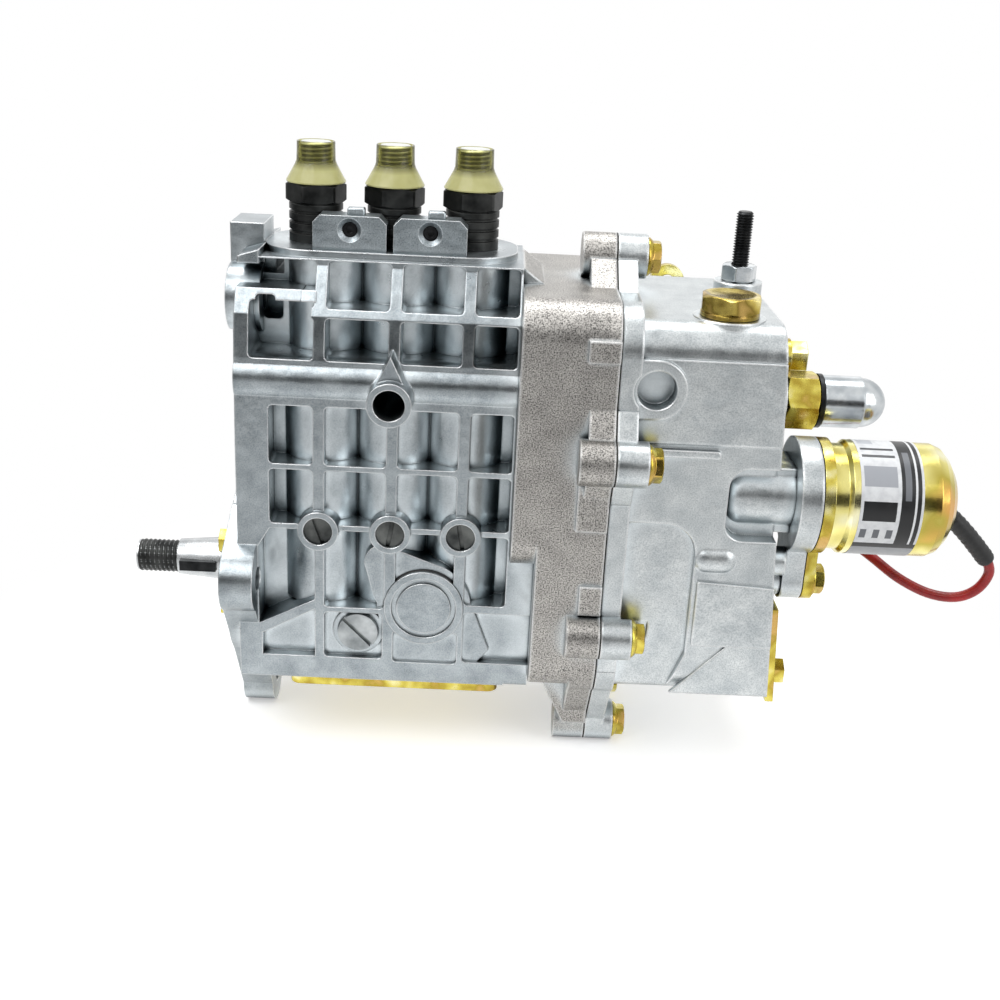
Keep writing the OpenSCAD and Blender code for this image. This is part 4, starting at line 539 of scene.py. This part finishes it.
ground_steel = turned_steel("ground_steel_bright", "#C9CBCC", "#A7AAAC", 0.35, 0.24)
dull_steel = turned_steel("turned_steel_dull", "#B4B8B9", "#6E7375", 0.5, 0.3)
dark_screw = turned_steel("phosphated_screw_steel", "#6C6E6C", "#343636", 0.5, 0.36)
phosphated = turned_steel("phosphated_steel_dark", "#4A4B4A", "#232424", 0.4, 0.42)
black_oxide = turned_steel("black_oxide_steel", "#3B3C3D", "#161718", 0.4, 0.34)
thread_steel = turned_steel("zinc_thread_steel", "#C9CBCA", "#A3A6A6", 0.35, 0.3)
spring_steel = turned_steel("drawn_spring_steel", "#55585A", "#2C2E30", 0.3, 0.32)

# Painted shade: a short occlusion paints the thread grooves nearly black, so only crests stay bright.
thread_tree = thread_steel.node_tree
groove = add(thread_tree, "ShaderNodeAmbientOcclusion", {"Distance": 1.0 * MM}, samples=8,
             only_local=True)
groove_shade = add(thread_tree, "ShaderNodeValToRGB", {"Fac": groove.outputs["AO"]},
          ramp=[(0.55, "#1C1E18"), (0.9, "#D4D6D2")])
thread_tree.links.new(groove_shade.outputs["Color"], thread_tree.nodes["Principled BSDF"].inputs["Base Color"])

# %% [markdown]
# ### Plastics and rubber
# The lead is PVC, the connector nylon, the seal nitrile rubber and the gasket pressed paper
# with a binder. All are non-metals with an IOR near 1.5. Only the caps' polyethylene is set
# lower, to 1.3, so that the threads behind it aren't bent out of sight. Each gets a fine
# moulded grain and a slow drift of its colour, as real mouldings have.

# %% Plastics
def moulded(name, light, dark, grain_mm, roughness, ior=1.5):
    material, tree, shader = new_material(name, IOR=ior)
    place_on = add(tree, "ShaderNodeTexCoord").outputs["Object"]
    drift = add(tree, "ShaderNodeTexNoise", {"Vector": place_on, "Scale": waves_per_metre(6),
                                             "Detail": 2.0})
    colour = add(tree, "ShaderNodeValToRGB", {"Fac": drift.outputs["Fac"]},
                 ramp=[(0.3, dark), (0.7, light)])
    tree.links.new(colour.outputs["Color"], shader.inputs["Base Color"])
    grain = add(tree, "ShaderNodeTexNoise", {"Vector": place_on, "Scale": waves_per_metre(grain_mm)})
    relief(tree, shader, grain.outputs["Fac"], (roughness - 0.05, roughness + 0.1), strength=0.2,
           depth_mm=0.05)
    print(name, len(tree.nodes), "nodes")
    return material


red_pvc = moulded("red_pvc_insulation", "#A81818", "#7E0E10", 0.8, 0.34)
black_pvc = moulded("black_pvc_sleeve", "#151617", "#0B0B0C", 0.8, 0.48)
nylon = moulded("black_nylon_moulded", "#2A2A2B", "#1A1A1B", 0.5, 0.45)
gasket_paper = moulded("gasket_paper_dark", "#2E2C29", "#191817", 0.4, 0.7)
nitrile = moulded("nitrile_rubber_black", "#1F1F20", "#121212", 0.6, 0.5)
cap_ldpe = moulded("ldpe_cap_translucent", "#CBC993", "#BCB97E", 0.8, 0.1, ior=1.3)

# %% [markdown]
# ### A finish for every CAD node
# The nodes whose shape is right stay as they are and only get their finish. A node that a
# piece replaces gets one too.

# %% Assign finishes to the CAD nodes
FINISHES = {
    die_cast: "pump_body core_plug",
    plate_steel: "lock_plates",
    sand_cast: "governor_case",
    cover_cast: "governor_cover solenoid_flange",
    zinc_yellow: "bottom_cover bottom_screws retainer_bolts seam_bolts rear_plate rear_plate_bolts "
                 "limiter_nut shim_nut solenoid_plate solenoid_bolts speed_lever stop_lever",
    zinc_can: "solenoid_can",
    zinc_dark: "filler_plug",
    bright_zinc: "limiter_cap idle_nut bearing_retainer",
    dull_steel: "side_plug",
    dark_screw: "guide_screws",
    ground_steel: "camshaft front_bearing rear_bearing tappet_1 tappet_2 tappet_3 plunger_1 "
                  "plunger_2 plunger_3 upper_seats barrels sleeve_1 sleeve_2 sleeve_3 "
                  "control_rack delivery_valves solenoid_rod weight_carrier flyweight_1 "
                  "flyweight_2 governor_collar governor_arm",
    black_oxide: "shaft_key limiter_washer",
    phosphated: "valve_holders idle_screw",
    spring_steel: "spring_1 spring_2 spring_3",
    nitrile: "oil_seal",
    black_pvc: "lead_sleeve",
    gasket_paper: "seam_gasket",
    cap_ldpe: "thread_caps",
    red_pvc: "lead_wires",
    nylon: "lead_connector",
}


def finish(piece, material):
    piece.data.materials.clear()
    piece.data.materials.append(material)


for material, names in FINISHES.items():
    for node_name in names.split():
        finish(bpy.data.objects[node_name], material)
covered = {name for names in FINISHES.values() for name in names.split()}
print("nodes without a finish:", sorted(set(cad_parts) - covered))

# %% [markdown]
# A piece of the scene gets its finish the same way, and a slot that names its material for
# whoever reuses the part.

# %% Dress the lead
def dress(piece, material):
    finish(piece, material)
    print(piece.name, len(piece.data.polygons), "faces")


dress(wire, red_pvc)
dress(sleeve, black_pvc)
dress(connector, nylon)

# %% [markdown]
# ## Delivery valve holders
# Each holder is a turned steel body with a hexagon and an M12 thread. Three grooves run round
# its shank, and a thin machined face closes the thread. The shank is spun, the hexagon is
# chamfered, and the thread is a real helix, so its flanks catch the light.

# %% Valve holders
ELEMENT_X = (29, 57, 85)
SEAT_Z, DECK_Z, HEX_Z, HEX_TOP, HOLDER_TOP = 113, 127.5, 141, 148, 162
SEAT_R, SHANK_R, SHANK_TOP_R, GROOVE_R = 9, 9.6, 9.2, 8.9
LAND, SHANK_BEVEL = 2.6, 0.4
GROOVE_HEIGHTS = (3, 6.5, 10)
GROOVE = [(SHANK_R, 0), (GROOVE_R, 0.25), (GROOVE_R, 0.95), (SHANK_R, 1.2)]
HOLDER_CORNER, HOLDER_TURN = 11, 12
THREAD_R, THREAD_PITCH = 5.98, 1.5
FACE = [(AXIS_R, 0), (2.1, 0), (4.2, 0.03), (4.3, 0.0), (2.0, -0.2)]
FACE_LIFT = 0.01


def holder_body(x):
    deck, top = DECK_Z - SEAT_Z, HEX_Z - SEAT_Z
    shank = [(AXIS_R, 0), (SEAT_R, 0), (SEAT_R, deck), (SHANK_R, deck), (SHANK_R, deck + LAND)]
    shank += [(r, deck + height + h) for height in GROOVE_HEIGHTS for r, h in GROOVE]
    shank += [(SHANK_R, top - SHANK_BEVEL), (SHANK_TOP_R, top), (AXIS_R, top)]
    return [turned(shank, along((x, 0, SEAT_Z))),
            hexagon(HOLDER_CORNER, HEX_TOP - HEX_Z, along((x, 0, HEX_Z)), chamfer_both=True,
                    turn=HOLDER_TURN)]


def holder_thread(x):
    return [threaded(THREAD_R, THREAD_PITCH, HOLDER_TOP - HEX_TOP, along((x, 0, HEX_TOP))),
            turned(FACE, along((x, 0, HOLDER_TOP + FACE_LIFT)))]


holders = joined("delivery_valve_holders", [part for x in ELEMENT_X for part in holder_body(x)])
dress(holders, phosphated)
holder_threads = joined("delivery_threads", [part for x in ELEMENT_X for part in holder_thread(x)])
dress(holder_threads, thread_steel)
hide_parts("valve_holders")

# %% [markdown]
# ## Transport caps
# Thin caps of yellowish polyethylene are pushed over the threads, which show through the neck.
# A cap is an open tube with a flared skirt that rests on the hexagon. The neck's wall is a
# little over half a millimetre thick, so it passes more light than the skirt. The material
# gets clearer with height where the skirt turns into the neck.

# %% Caps
CAP = [(6.2, 0.05), (10.5, 0.05), (10.6, 0.5), (9.7, 2.0), (8.5, 4.2), (7.4, 6.2), (6.9, 7.6), (6.8, 10.8),
       (6.75, 14.0), (6.3, 14.1), (6.15, 13.8), (6.1, 1.0)]
SKIRT_END, NECK_START = HEX_TOP + 4.5, HEX_TOP + 7.5
SKIRT_CLEAR, NECK_CLEAR = 0.15, 0.93

cap_tree = cap_ldpe.node_tree
cap_place = add(cap_tree, "ShaderNodeTexCoord").outputs["Object"]
cap_axes = add(cap_tree, "ShaderNodeSeparateXYZ", {0: cap_place})
cap_thin = add(cap_tree, "ShaderNodeMapRange", {"Value": cap_axes.outputs["Z"],
                                                "From Min": SKIRT_END * MM, "From Max": NECK_START * MM,
                                                "To Min": SKIRT_CLEAR, "To Max": NECK_CLEAR})
cap_shader = cap_tree.nodes["Principled BSDF"]
cap_tree.links.new(cap_thin.outputs["Result"], cap_shader.inputs["Transmission Weight"])
caps = joined("transport_caps", [turned(CAP + CAP[:1], along((x, 0, HEX_TOP)), steps=48, caps=False)
                                 for x in ELEMENT_X])
dress(caps, cap_ldpe)
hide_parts("thread_caps")

# %% [markdown]
# ## Bolts, nuts and plugs
# The seam bolts have a pressed washer and a shallow dish in their head. Each is a hexagon on a
# turned skirt, with a plain shank. The smaller bolts of the solenoid are made by the same
# function. Every head is turned by another angle, as real ones are when they are tight.

# %% Flange bolts of the seam
SEAM_BOLTS = [(0, 127), (-57, 67), (-52, -1), (-17, -55), (17, -55), (52, -1), (57, 67)]
SEAM_HEAD_X, SEAM_TURN = 148.4, 17
SEAM_SKIRT = [(AXIS_R, 0), (6.8, 0), (7.0, 0.4), (6.9, 0.9), (6.0, 1.9), (5.2, 2.4), (AXIS_R, 2.4)]
SEAM_SHANK = [(AXIS_R, -19), (2.6, -19), (3.0, -18.4), (3.0, 0), (AXIS_R, 0)]


def bolt(matrix, skirt, shank, corner, height, lift, dish, turn):
    return [turned(skirt, matrix), turned(shank, matrix),
            hexagon(corner, height, raised(matrix, lift), turn=turn, dish=dish)]


seam_bolts = joined("seam_flange_bolts", [
    part for i, (y, z) in enumerate(SEAM_BOLTS)
    for part in bolt(along((SEAM_HEAD_X, y, z), RIGHT), SEAM_SKIRT, SEAM_SHANK, corner=6.2, height=3.7,
                     lift=1.3, dish=0.7, turn=SEAM_TURN * i)])
dress(seam_bolts, zinc_yellow)
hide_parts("seam_bolts")

# %% Solenoid bolts
SOL_X, SOL_Y, SOL_Z = 215.4, -32, 50
SOL_BOLTS = [(0, -33, 10), (31, -8, 35)]
SOL_SKIRT = [(AXIS_R, 0), (6.2, 0), (6.4, 0.3), (6.3, 0.9), (5.2, 1.1), (AXIS_R, 1.1)]
SOL_SHANK = [(AXIS_R, -14), (3, -14), (3, 0.02), (AXIS_R, 0.02)]

solenoid_bolts = joined("solenoid_bolts_detailed", [
    part for dy, dz, turn in SOL_BOLTS
    for part in bolt(along((SOL_X, SOL_Y + dy, SOL_Z + dz), RIGHT), SOL_SKIRT, SOL_SHANK, corner=5.6,
                     height=3.6, lift=1, dish=0.5, turn=turn)])
dress(solenoid_bolts, zinc_yellow)
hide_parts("solenoid_bolts")

# %% [markdown]
# The filler plug on the cover is a wide hexagon on a turned skirt. Its head is dished, and its
# corners are cut back above and below.

# %% Filler plug
FILLER = (175.4, -30, 113.4)
FILLER_SKIRT = [(AXIS_R, 0), (10.0, 0), (10.2, 0.3), (10.2, 1.5), (9.8, 1.9), (AXIS_R, 1.9)]
FILLER_CORNER, FILLER_HEIGHT, FILLER_LIFT = 11.4, 6, 1.8

filler = joined("filler_plug_detailed", [
    turned(FILLER_SKIRT, along(FILLER)),
    hexagon(FILLER_CORNER, FILLER_HEIGHT, raised(along(FILLER), FILLER_LIFT), chamfer_both=True,
            turn=22, dish=0.6)])
dress(filler, zinc_dark)
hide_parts("filler_plug")

# %% [markdown]
# The idle screw stands in a boss of the cover. The crests of its thread keep the solid's
# radius. A plain foot sits inside the boss, and a lock nut sits on it.

# %% Idle screw and its nut
IDLE_X, IDLE_Y, BOSS_Z, IDLE_FOOT_Z = 185, 13, 117.5, 100
IDLE_R, IDLE_PITCH, IDLE_REACH, IDLE_FOOT_R = 3.2, 1.0, 25.5, 3.0
IDLE_CORNER, IDLE_NUT_HEIGHT, IDLE_BORE = 6.8, 6, 3.3
FOOT_TOP = BOSS_Z - IDLE_FOOT_Z + 0.1

idle_seat = along((IDLE_X, IDLE_Y, BOSS_Z))
idle_screw = joined("idle_screw_thread", [
    threaded(IDLE_R, IDLE_PITCH, IDLE_REACH, idle_seat, steps=40),
    turned([(AXIS_R, 0), (IDLE_FOOT_R, 0), (IDLE_FOOT_R, FOOT_TOP), (AXIS_R, FOOT_TOP)],
           along((IDLE_X, IDLE_Y, IDLE_FOOT_Z)), steps=40)])
dress(idle_screw, black_oxide)
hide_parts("idle_screw")
idle_nut = mesh_object("idle_lock_nut", *hexagon(IDLE_CORNER, IDLE_NUT_HEIGHT, idle_seat,
                                                 bore=IDLE_BORE, chamfer_both=True, turn=8))
dress(idle_nut, bright_zinc)
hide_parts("idle_nut")

# %% [markdown]
# On the cover's end a yellow nut holds the limiter, and a domed cap nut closes it. The dome's
# profile is a quarter of an ellipse. The dark washer between them is the solid's own.

# %% Limiter nut and cap nut
NUT_X, NUT_Z, NUT_CORNER, NUT_LENGTH, WASHER_THICK = 204.2, 76, 11.3, 12.4, 1.6
COLLAR_R, COLLAR_BACK, COLLAR_LENGTH = 9.4, 0.6, 0.7
DOME_R, DOME_RISE, DOME_START = 9.3, 9.4, 15.2

limiter_nut = joined("limiter_nut_detailed", [
    turned([(AXIS_R, 0), (COLLAR_R, 0), (COLLAR_R, COLLAR_LENGTH), (AXIS_R, COLLAR_LENGTH)],
           along((NUT_X - COLLAR_BACK, 0, NUT_Z), RIGHT)),
    hexagon(NUT_CORNER, NUT_LENGTH, along((NUT_X, 0, NUT_Z), RIGHT), chamfer_both=True)])
dress(limiter_nut, zinc_yellow)
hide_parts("limiter_nut")

dome = [(DOME_R * math.cos(a), DOME_START + DOME_RISE * math.sin(a))
        for a in (math.radians(d) for d in range(0, 90, 9))]
cap_nut = mesh_object("limiter_cap_nut", *turned(
    [(AXIS_R, 0), (9.5, 0), (9.8, 0.4), (9.8, 14.6), (9.4, 15.0)] + dome
    + [(AXIS_R, DOME_START + DOME_RISE)], along((NUT_X + NUT_LENGTH + WASHER_THICK, 0, NUT_Z), RIGHT)))
dress(cap_nut, bright_zinc)
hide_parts("limiter_cap")

# %% [markdown]
# ## Drive end of the camshaft
# The thread at the shaft's tip holds the drive gear on the taper. The CAD camshaft stays, and
# a threaded sleeve lies over its plain end. Its crests stand 0.35 mm proud of the solid, and
# its grooves are drawn shallow, so that the solid doesn't come through.

# %% Shaft thread
THREAD_START_X, SHAFT_R, SHAFT_PITCH, SHAFT_THREAD_LENGTH = -25.2, 6.35, 1.75, 15.8

shaft_thread = mesh_object("drive_shaft_thread", *threaded(
    SHAFT_R, SHAFT_PITCH, SHAFT_THREAD_LENGTH, along((THREAD_START_X, 0, 0), LEFT), depth_share=0.2),
    body="camshaft")
dress(shaft_thread, phosphated)

# %% [markdown]
# ## Label of the solenoid
# The real can carries a printed foil. A foil is a thin curved sheet a little larger than the
# can. Its print is a list of plain grey and black fields in a layout of its own, without
# lettering. Each field has its reach across the foil, as a share of the width, its reach round
# the can, as a share of half a turn from the front, and its tone.

# %% Foil
LABEL_X0, LABEL_X1, LABEL_R = 224, 246, 20.5 + 0.12
LABEL_EDGE, LABEL_SPAN, LABEL_STEPS = 7, 300, 48

label_rows = []
for j in range(LABEL_STEPS + 1):
    a = math.radians(-LABEL_SPAN / 2 + LABEL_SPAN * j / LABEL_STEPS)
    y, z = SOL_Y - LABEL_R * math.cos(a), SOL_Z + LABEL_R * math.sin(a)
    label_rows.append([(x * MM, y * MM, z * MM)
                       for x in (LABEL_X0, LABEL_X0 + LABEL_EDGE, LABEL_X1 - LABEL_EDGE, LABEL_X1)])
label = mesh_object("solenoid_label", *skin(label_rows, close_rows=False, caps=False))
layer = label.data.uv_layers.new(name="foil")
for loop in label.data.loops:
    p = label.data.vertices[loop.vertex_index].co / MM
    layer.data[loop.index].uv = ((p.x - LABEL_X0) / (LABEL_X1 - LABEL_X0),
                                 math.atan2(p.z - SOL_Z, SOL_Y - p.y) / math.pi)

# %% Print
PRINT = [((0.64, 0.96), (-0.21, 0.9), "#17181A"), ((0.86, 0.895), (-0.17, 0.9), "#D6D8DA"),
         ((0.05, 0.58), (-0.02, 0.09), "#17181A"), ((0.05, 0.58), (0.17, 0.29), "#9A9DA3"),
         ((0.05, 0.58), (0.35, 0.37), "#3A3C3F"), ((0.05, 0.58), (0.41, 0.43), "#3A3C3F"),
         ((0.05, 0.30), (0.48, 0.56), "#B0B3B9"), ((0.05, 0.15), (-0.13, -0.07), "#5E6166"),
         ((0.26, 0.36), (-0.13, -0.07), "#5E6166"), ((0.47, 0.57), (-0.13, -0.07), "#5E6166"),
         ((0.70, 0.80), (0.10, 0.40), "#6B6E73"), ((-0.1, 1.1), (-0.21, -0.17), "#17181A"),
         ((-0.1, 1.1), (-0.9, -0.21), "#8E9094")]

foil, foil_tree, foil_shader = new_material("printed_polyester_foil", IOR=1.5)
foil_place = add(foil_tree, "ShaderNodeTexCoord")
wear = add(foil_tree, "ShaderNodeTexNoise", {"Vector": foil_place.outputs["Object"],
                                             "Scale": waves_per_metre(2.5), "Detail": 3.0})
foil_rough = add(foil_tree, "ShaderNodeMapRange", {"Value": wear.outputs["Fac"], "To Min": 0.25,
                                                   "To Max": 0.45})
foil_tree.links.new(foil_rough.outputs["Result"], foil_shader.inputs["Roughness"])
tint = add(foil_tree, "ShaderNodeValToRGB", {"Fac": wear.outputs["Fac"]},
           ramp=[(0.3, "#C6C8CB"), (0.6, "#D6D8DA")])
axes = add(foil_tree, "ShaderNodeSeparateXYZ", {0: foil_place.outputs["UV"]})
fields = []
for (u0, u1), (v0, v1), tone in PRINT:
    across = add(foil_tree, "ShaderNodeMath", {0: axes.outputs["X"], 1: (u0 + u1) / 2, 2: (u1 - u0) / 2},
                 operation="COMPARE")
    around = add(foil_tree, "ShaderNodeMath", {0: axes.outputs["Y"], 1: (v0 + v1) / 2, 2: (v1 - v0) / 2},
                 operation="COMPARE")
    field = add(foil_tree, "ShaderNodeMath", {0: across.outputs[0], 1: around.outputs[0]},
                operation="MULTIPLY")
    fields.append((field.outputs[0], linear(tone), "MIX"))
foil_tree.links.new(layered(foil_tree, tint.outputs["Color"], fields), foil_shader.inputs["Base Color"])
dress(label, foil)

# %% [markdown]
# ## Screws and tabs of the lock plates
# A dark screw sits at the bottom of each countersunk hole, and a small tab on the plate's top
# edge bears on the hexagons.

# %% Plate details
PLATE_X, PLATE_Z, PLATE_TOP = (43, 71), 134.45, 139.4
SCREW_Y = -4
SCREW = [(AXIS_R, 0), (2.62, 0), (2.62, 13.2), (2.3, 13.5), (1.3, 13.5), (1.3, 12.2), (AXIS_R, 12.0)]
TAB_LOW, TAB_HIGH, TAB_CUT = (-1, -17, -0.6), (5, -12.5, 2.4), 0.4


def tab(x):
    return box_part((x + TAB_LOW[0], TAB_LOW[1], PLATE_TOP + TAB_LOW[2]),
                    (x + TAB_HIGH[0], TAB_HIGH[1], PLATE_TOP + TAB_HIGH[2]), TAB_CUT)


plate_screws = joined("lock_plate_screws", [turned(SCREW, along((x, SCREW_Y, PLATE_Z), FRONT), steps=36)
                                            for x in PLATE_X])
dress(plate_screws, black_oxide)
plate_tabs = joined("lock_plate_tabs", [tab(x) for x in PLATE_X])
dress(plate_tabs, plate_steel)

# %% [markdown]
# ## Sealant of the core plug
# The core plug is pressed in with a dark sealant. What is squeezed out stays as a thin ring
# where the plug meets the casting. Its profile is given as steps out from the plug's edge.

# %% Sealant ring
PLUG_X, PLUG_Y, PLUG_Z, PLUG_R = 73.2, -35.6, 0, 14.6
BEAD = [(-0.1, -0.3), (-0.1, 0.9), (0.2, 0.7), (0.5, 0.2), (0.7, -0.3), (-0.1, -0.3)]

sealant = mesh_object("core_plug_sealant", *turned(
    [(PLUG_R + out, height) for out, height in BEAD], along((PLUG_X, PLUG_Y, PLUG_Z), FRONT),
    steps=96, caps=False))
dress(sealant, nitrile)

# %% [markdown]
# ## Two cast forms at the drive end of the deck
# The ledge beside the first cylinder runs into its rib, and a sloping shoulder carries the end
# of the deck. Both are part of the housing casting. Each is a prism with a small chamfer, set
# flush over the solid below it. The ledge runs along X with a section in Y and Z. The shoulder
# runs along Y, so its X and Y are changed over.

# %% Cast forms
LEDGE_X, LEDGE_CHAMFER = (27.6, 33.2), 0.35
LEDGE = [(-30.9, 111.4), (-28.7, 115.0), (-13, 115.0), (-13, 111.4)]
SHOULDER_Y, SHOULDER_CHAMFER = (-24.1, 22.1), 0.5
SHOULDER = [(4.8, 122.4), (4.8, 124.6), (5.6, 125.4), (12.6, DECK_Z - 0.05), (12.6, 122.4)]


def prism(reach, section, chamfer):
    low, high = reach
    rows = []
    middle = [sum(p[i] for p in section) / len(section) for i in (0, 1)]
    for x, inset in ((low, chamfer), (low + chamfer, 0), (high - chamfer, 0), (high, chamfer)):
        outline = []
        for p in section:
            way = Vector((middle[0] - p[0], middle[1] - p[1])).normalized()
            outline.append((x, p[0] + way.x * inset, p[1] + way.y * inset))
        rows.append([tuple(v * MM for v in p) for p in outline])
    return skin(rows)


ledge = mesh_object("cast_ledge_web", *prism(LEDGE_X, LEDGE, LEDGE_CHAMFER))
dress(ledge, die_cast)
shoulder_points, shoulder_faces = prism(SHOULDER_Y, SHOULDER, SHOULDER_CHAMFER)
shoulder = mesh_object("cast_deck_shoulder", [(x, y, z) for y, x, z in shoulder_points], shoulder_faces)
dress(shoulder, die_cast)

# %% [markdown]
# ## Floor and surroundings
# The photograph is a cut-out on white. A large pale floor keeps the pump's own soft shadow near
# it and turns to plain white further out. The world shows white to the camera and to
# reflections, while it lights the object with less. One value tells these rays from the rest.

# %% Floor
CENTRE = (0.11, 0, 0.04)
FLOOR_Z, FLOOR_HALF = CAD_BOX[0][2], 4.0
SHADOW_REACH, WHITE_REACH = 0.13, 0.26
FLOOR_LIFT = 0.45


def seen_directly(tree):
    ray = add(tree, "ShaderNodeLightPath")
    seen = add(tree, "ShaderNodeMath", {0: ray.outputs["Is Camera Ray"],
                                        1: ray.outputs["Is Transmission Ray"]}, operation="MAXIMUM")
    seen = add(tree, "ShaderNodeMath", {0: seen.outputs[0], 1: ray.outputs["Is Glossy Ray"]},
               operation="MAXIMUM")
    return seen.outputs[0]


floor = mesh_object("floor", [(x * FLOOR_HALF, y * FLOOR_HALF, FLOOR_Z)
                              for x, y in ((-1, -1), (1, -1), (1, 1), (-1, 1))], [(0, 1, 2, 3)])
paper, paper_tree, paper_shader = new_material("matt_paper_floor", Roughness=0.9)
paper_shader.inputs["Base Color"].default_value = linear("#F4F4F4")
seen = seen_directly(paper_tree)
paper_place = add(paper_tree, "ShaderNodeTexCoord").outputs["Object"]
reach = add(paper_tree, "ShaderNodeVectorMath", {0: paper_place, 1: (CENTRE[0], CENTRE[1], FLOOR_Z)},
            operation="DISTANCE")
far = add(paper_tree, "ShaderNodeMapRange", {"Value": reach.outputs["Value"], "From Min": SHADOW_REACH,
                                             "From Max": WHITE_REACH}, interpolation_type="SMOOTHSTEP")
far_seen = add(paper_tree, "ShaderNodeMath", {0: seen, 1: far.outputs["Result"]}, operation="MULTIPLY")
glow = add(paper_tree, "ShaderNodeEmission", {"Color": linear("#FFFFFF"), "Strength": 1.0})
lift = add(paper_tree, "ShaderNodeEmission", {"Color": linear("#FFFFFF"), "Strength": FLOOR_LIFT})
lifted = add(paper_tree, "ShaderNodeAddShader", {0: paper_shader.outputs[0], 1: lift.outputs[0]})
near = add(paper_tree, "ShaderNodeMixShader", {0: seen, 1: paper_shader.outputs[0], 2: lifted.outputs[0]})
both = add(paper_tree, "ShaderNodeMixShader", {0: far_seen.outputs[0], 1: near.outputs[0],
                                               2: glow.outputs[0]})
paper_tree.links.new(both.outputs[0], paper_tree.nodes["Material Output"].inputs["Surface"])
finish(floor, paper)
print("floor at", round(FLOOR_Z / MM, 1), "mm")

# %% World
WORLD_LEVEL = 0.45

world = bpy.data.worlds.new("studio")
bpy.context.scene.world = world
world.use_nodes = True
world_tree = world.node_tree
world_tree.nodes.clear()
level = add(world_tree, "ShaderNodeMapRange", {"Value": seen_directly(world_tree),
                                               "To Min": WORLD_LEVEL, "To Max": 1.0})
sky = add(world_tree, "ShaderNodeBackground", {"Color": linear("#FFFFFF"),
                                               "Strength": level.outputs["Result"]})
add(world_tree, "ShaderNodeOutputWorld", {"Surface": sky.outputs[0]})
print("world nodes:", len(world_tree.nodes))

# %% [markdown]
# ## Lights
# Four wide lamps stand in for softboxes. Each has its place, its size and its power in watts. A
# dark card behind the camera and a grey one at the left, which the camera doesn't see, give the
# round metal parts their darker bands. A card is given by two opposite corners.

# %% Softboxes and cards
SOFTBOXES = {"key_softbox": ((-0.45, -0.55, 0.95), (0.9, 0.7), 7.0),
             "fill_softbox": ((0.9, -0.6, 0.5), (0.5, 0.7), 3.0),
             "top_softbox": ((0.1, 0.25, 1.1), (0.9, 0.35), 7.5),
             "back_softbox": ((0.1, 1.1, 0.55), (1.2, 0.5), 0.7)}
CARDS = {"dark_card": ((-0.3, -0.68, 0.02), (0.7, -0.68, 0.36), "#1E1E1E"),
         "grey_card": ((-0.5, -0.4, -0.03), (-0.5, 0.3, 0.34), "#5A5A5A")}

for lamp_name, (spot, size, power) in SOFTBOXES.items():
    lamp_data = bpy.data.lights.new(lamp_name, "AREA")
    lamp_data.shape = "RECTANGLE"
    lamp_data.size, lamp_data.size_y = size
    lamp_data.energy = power
    lamp = bpy.data.objects.new(lamp_name, lamp_data)
    bpy.context.collection.objects.link(lamp)
    lamp.location = spot
    lamp.rotation_euler = (Vector(CENTRE) - Vector(spot)).to_track_quat("-Z", "Y").to_euler()
for card_name, (a, b, card_colour) in CARDS.items():
    card = mesh_object(card_name, [a, (b[0], b[1], a[2]), b, (a[0], a[1], b[2])], [(0, 1, 2, 3)])
    card.visible_camera = False
    felt, _, felt_shader = new_material("felt_" + card_name, Roughness=0.9)
    felt_shader.inputs["Base Color"].default_value = linear(card_colour)
    finish(card, felt)
bpy.context.scene.view_settings.view_transform = "Standard"
print("lamps:", len(SOFTBOXES), "cards:", len(CARDS))
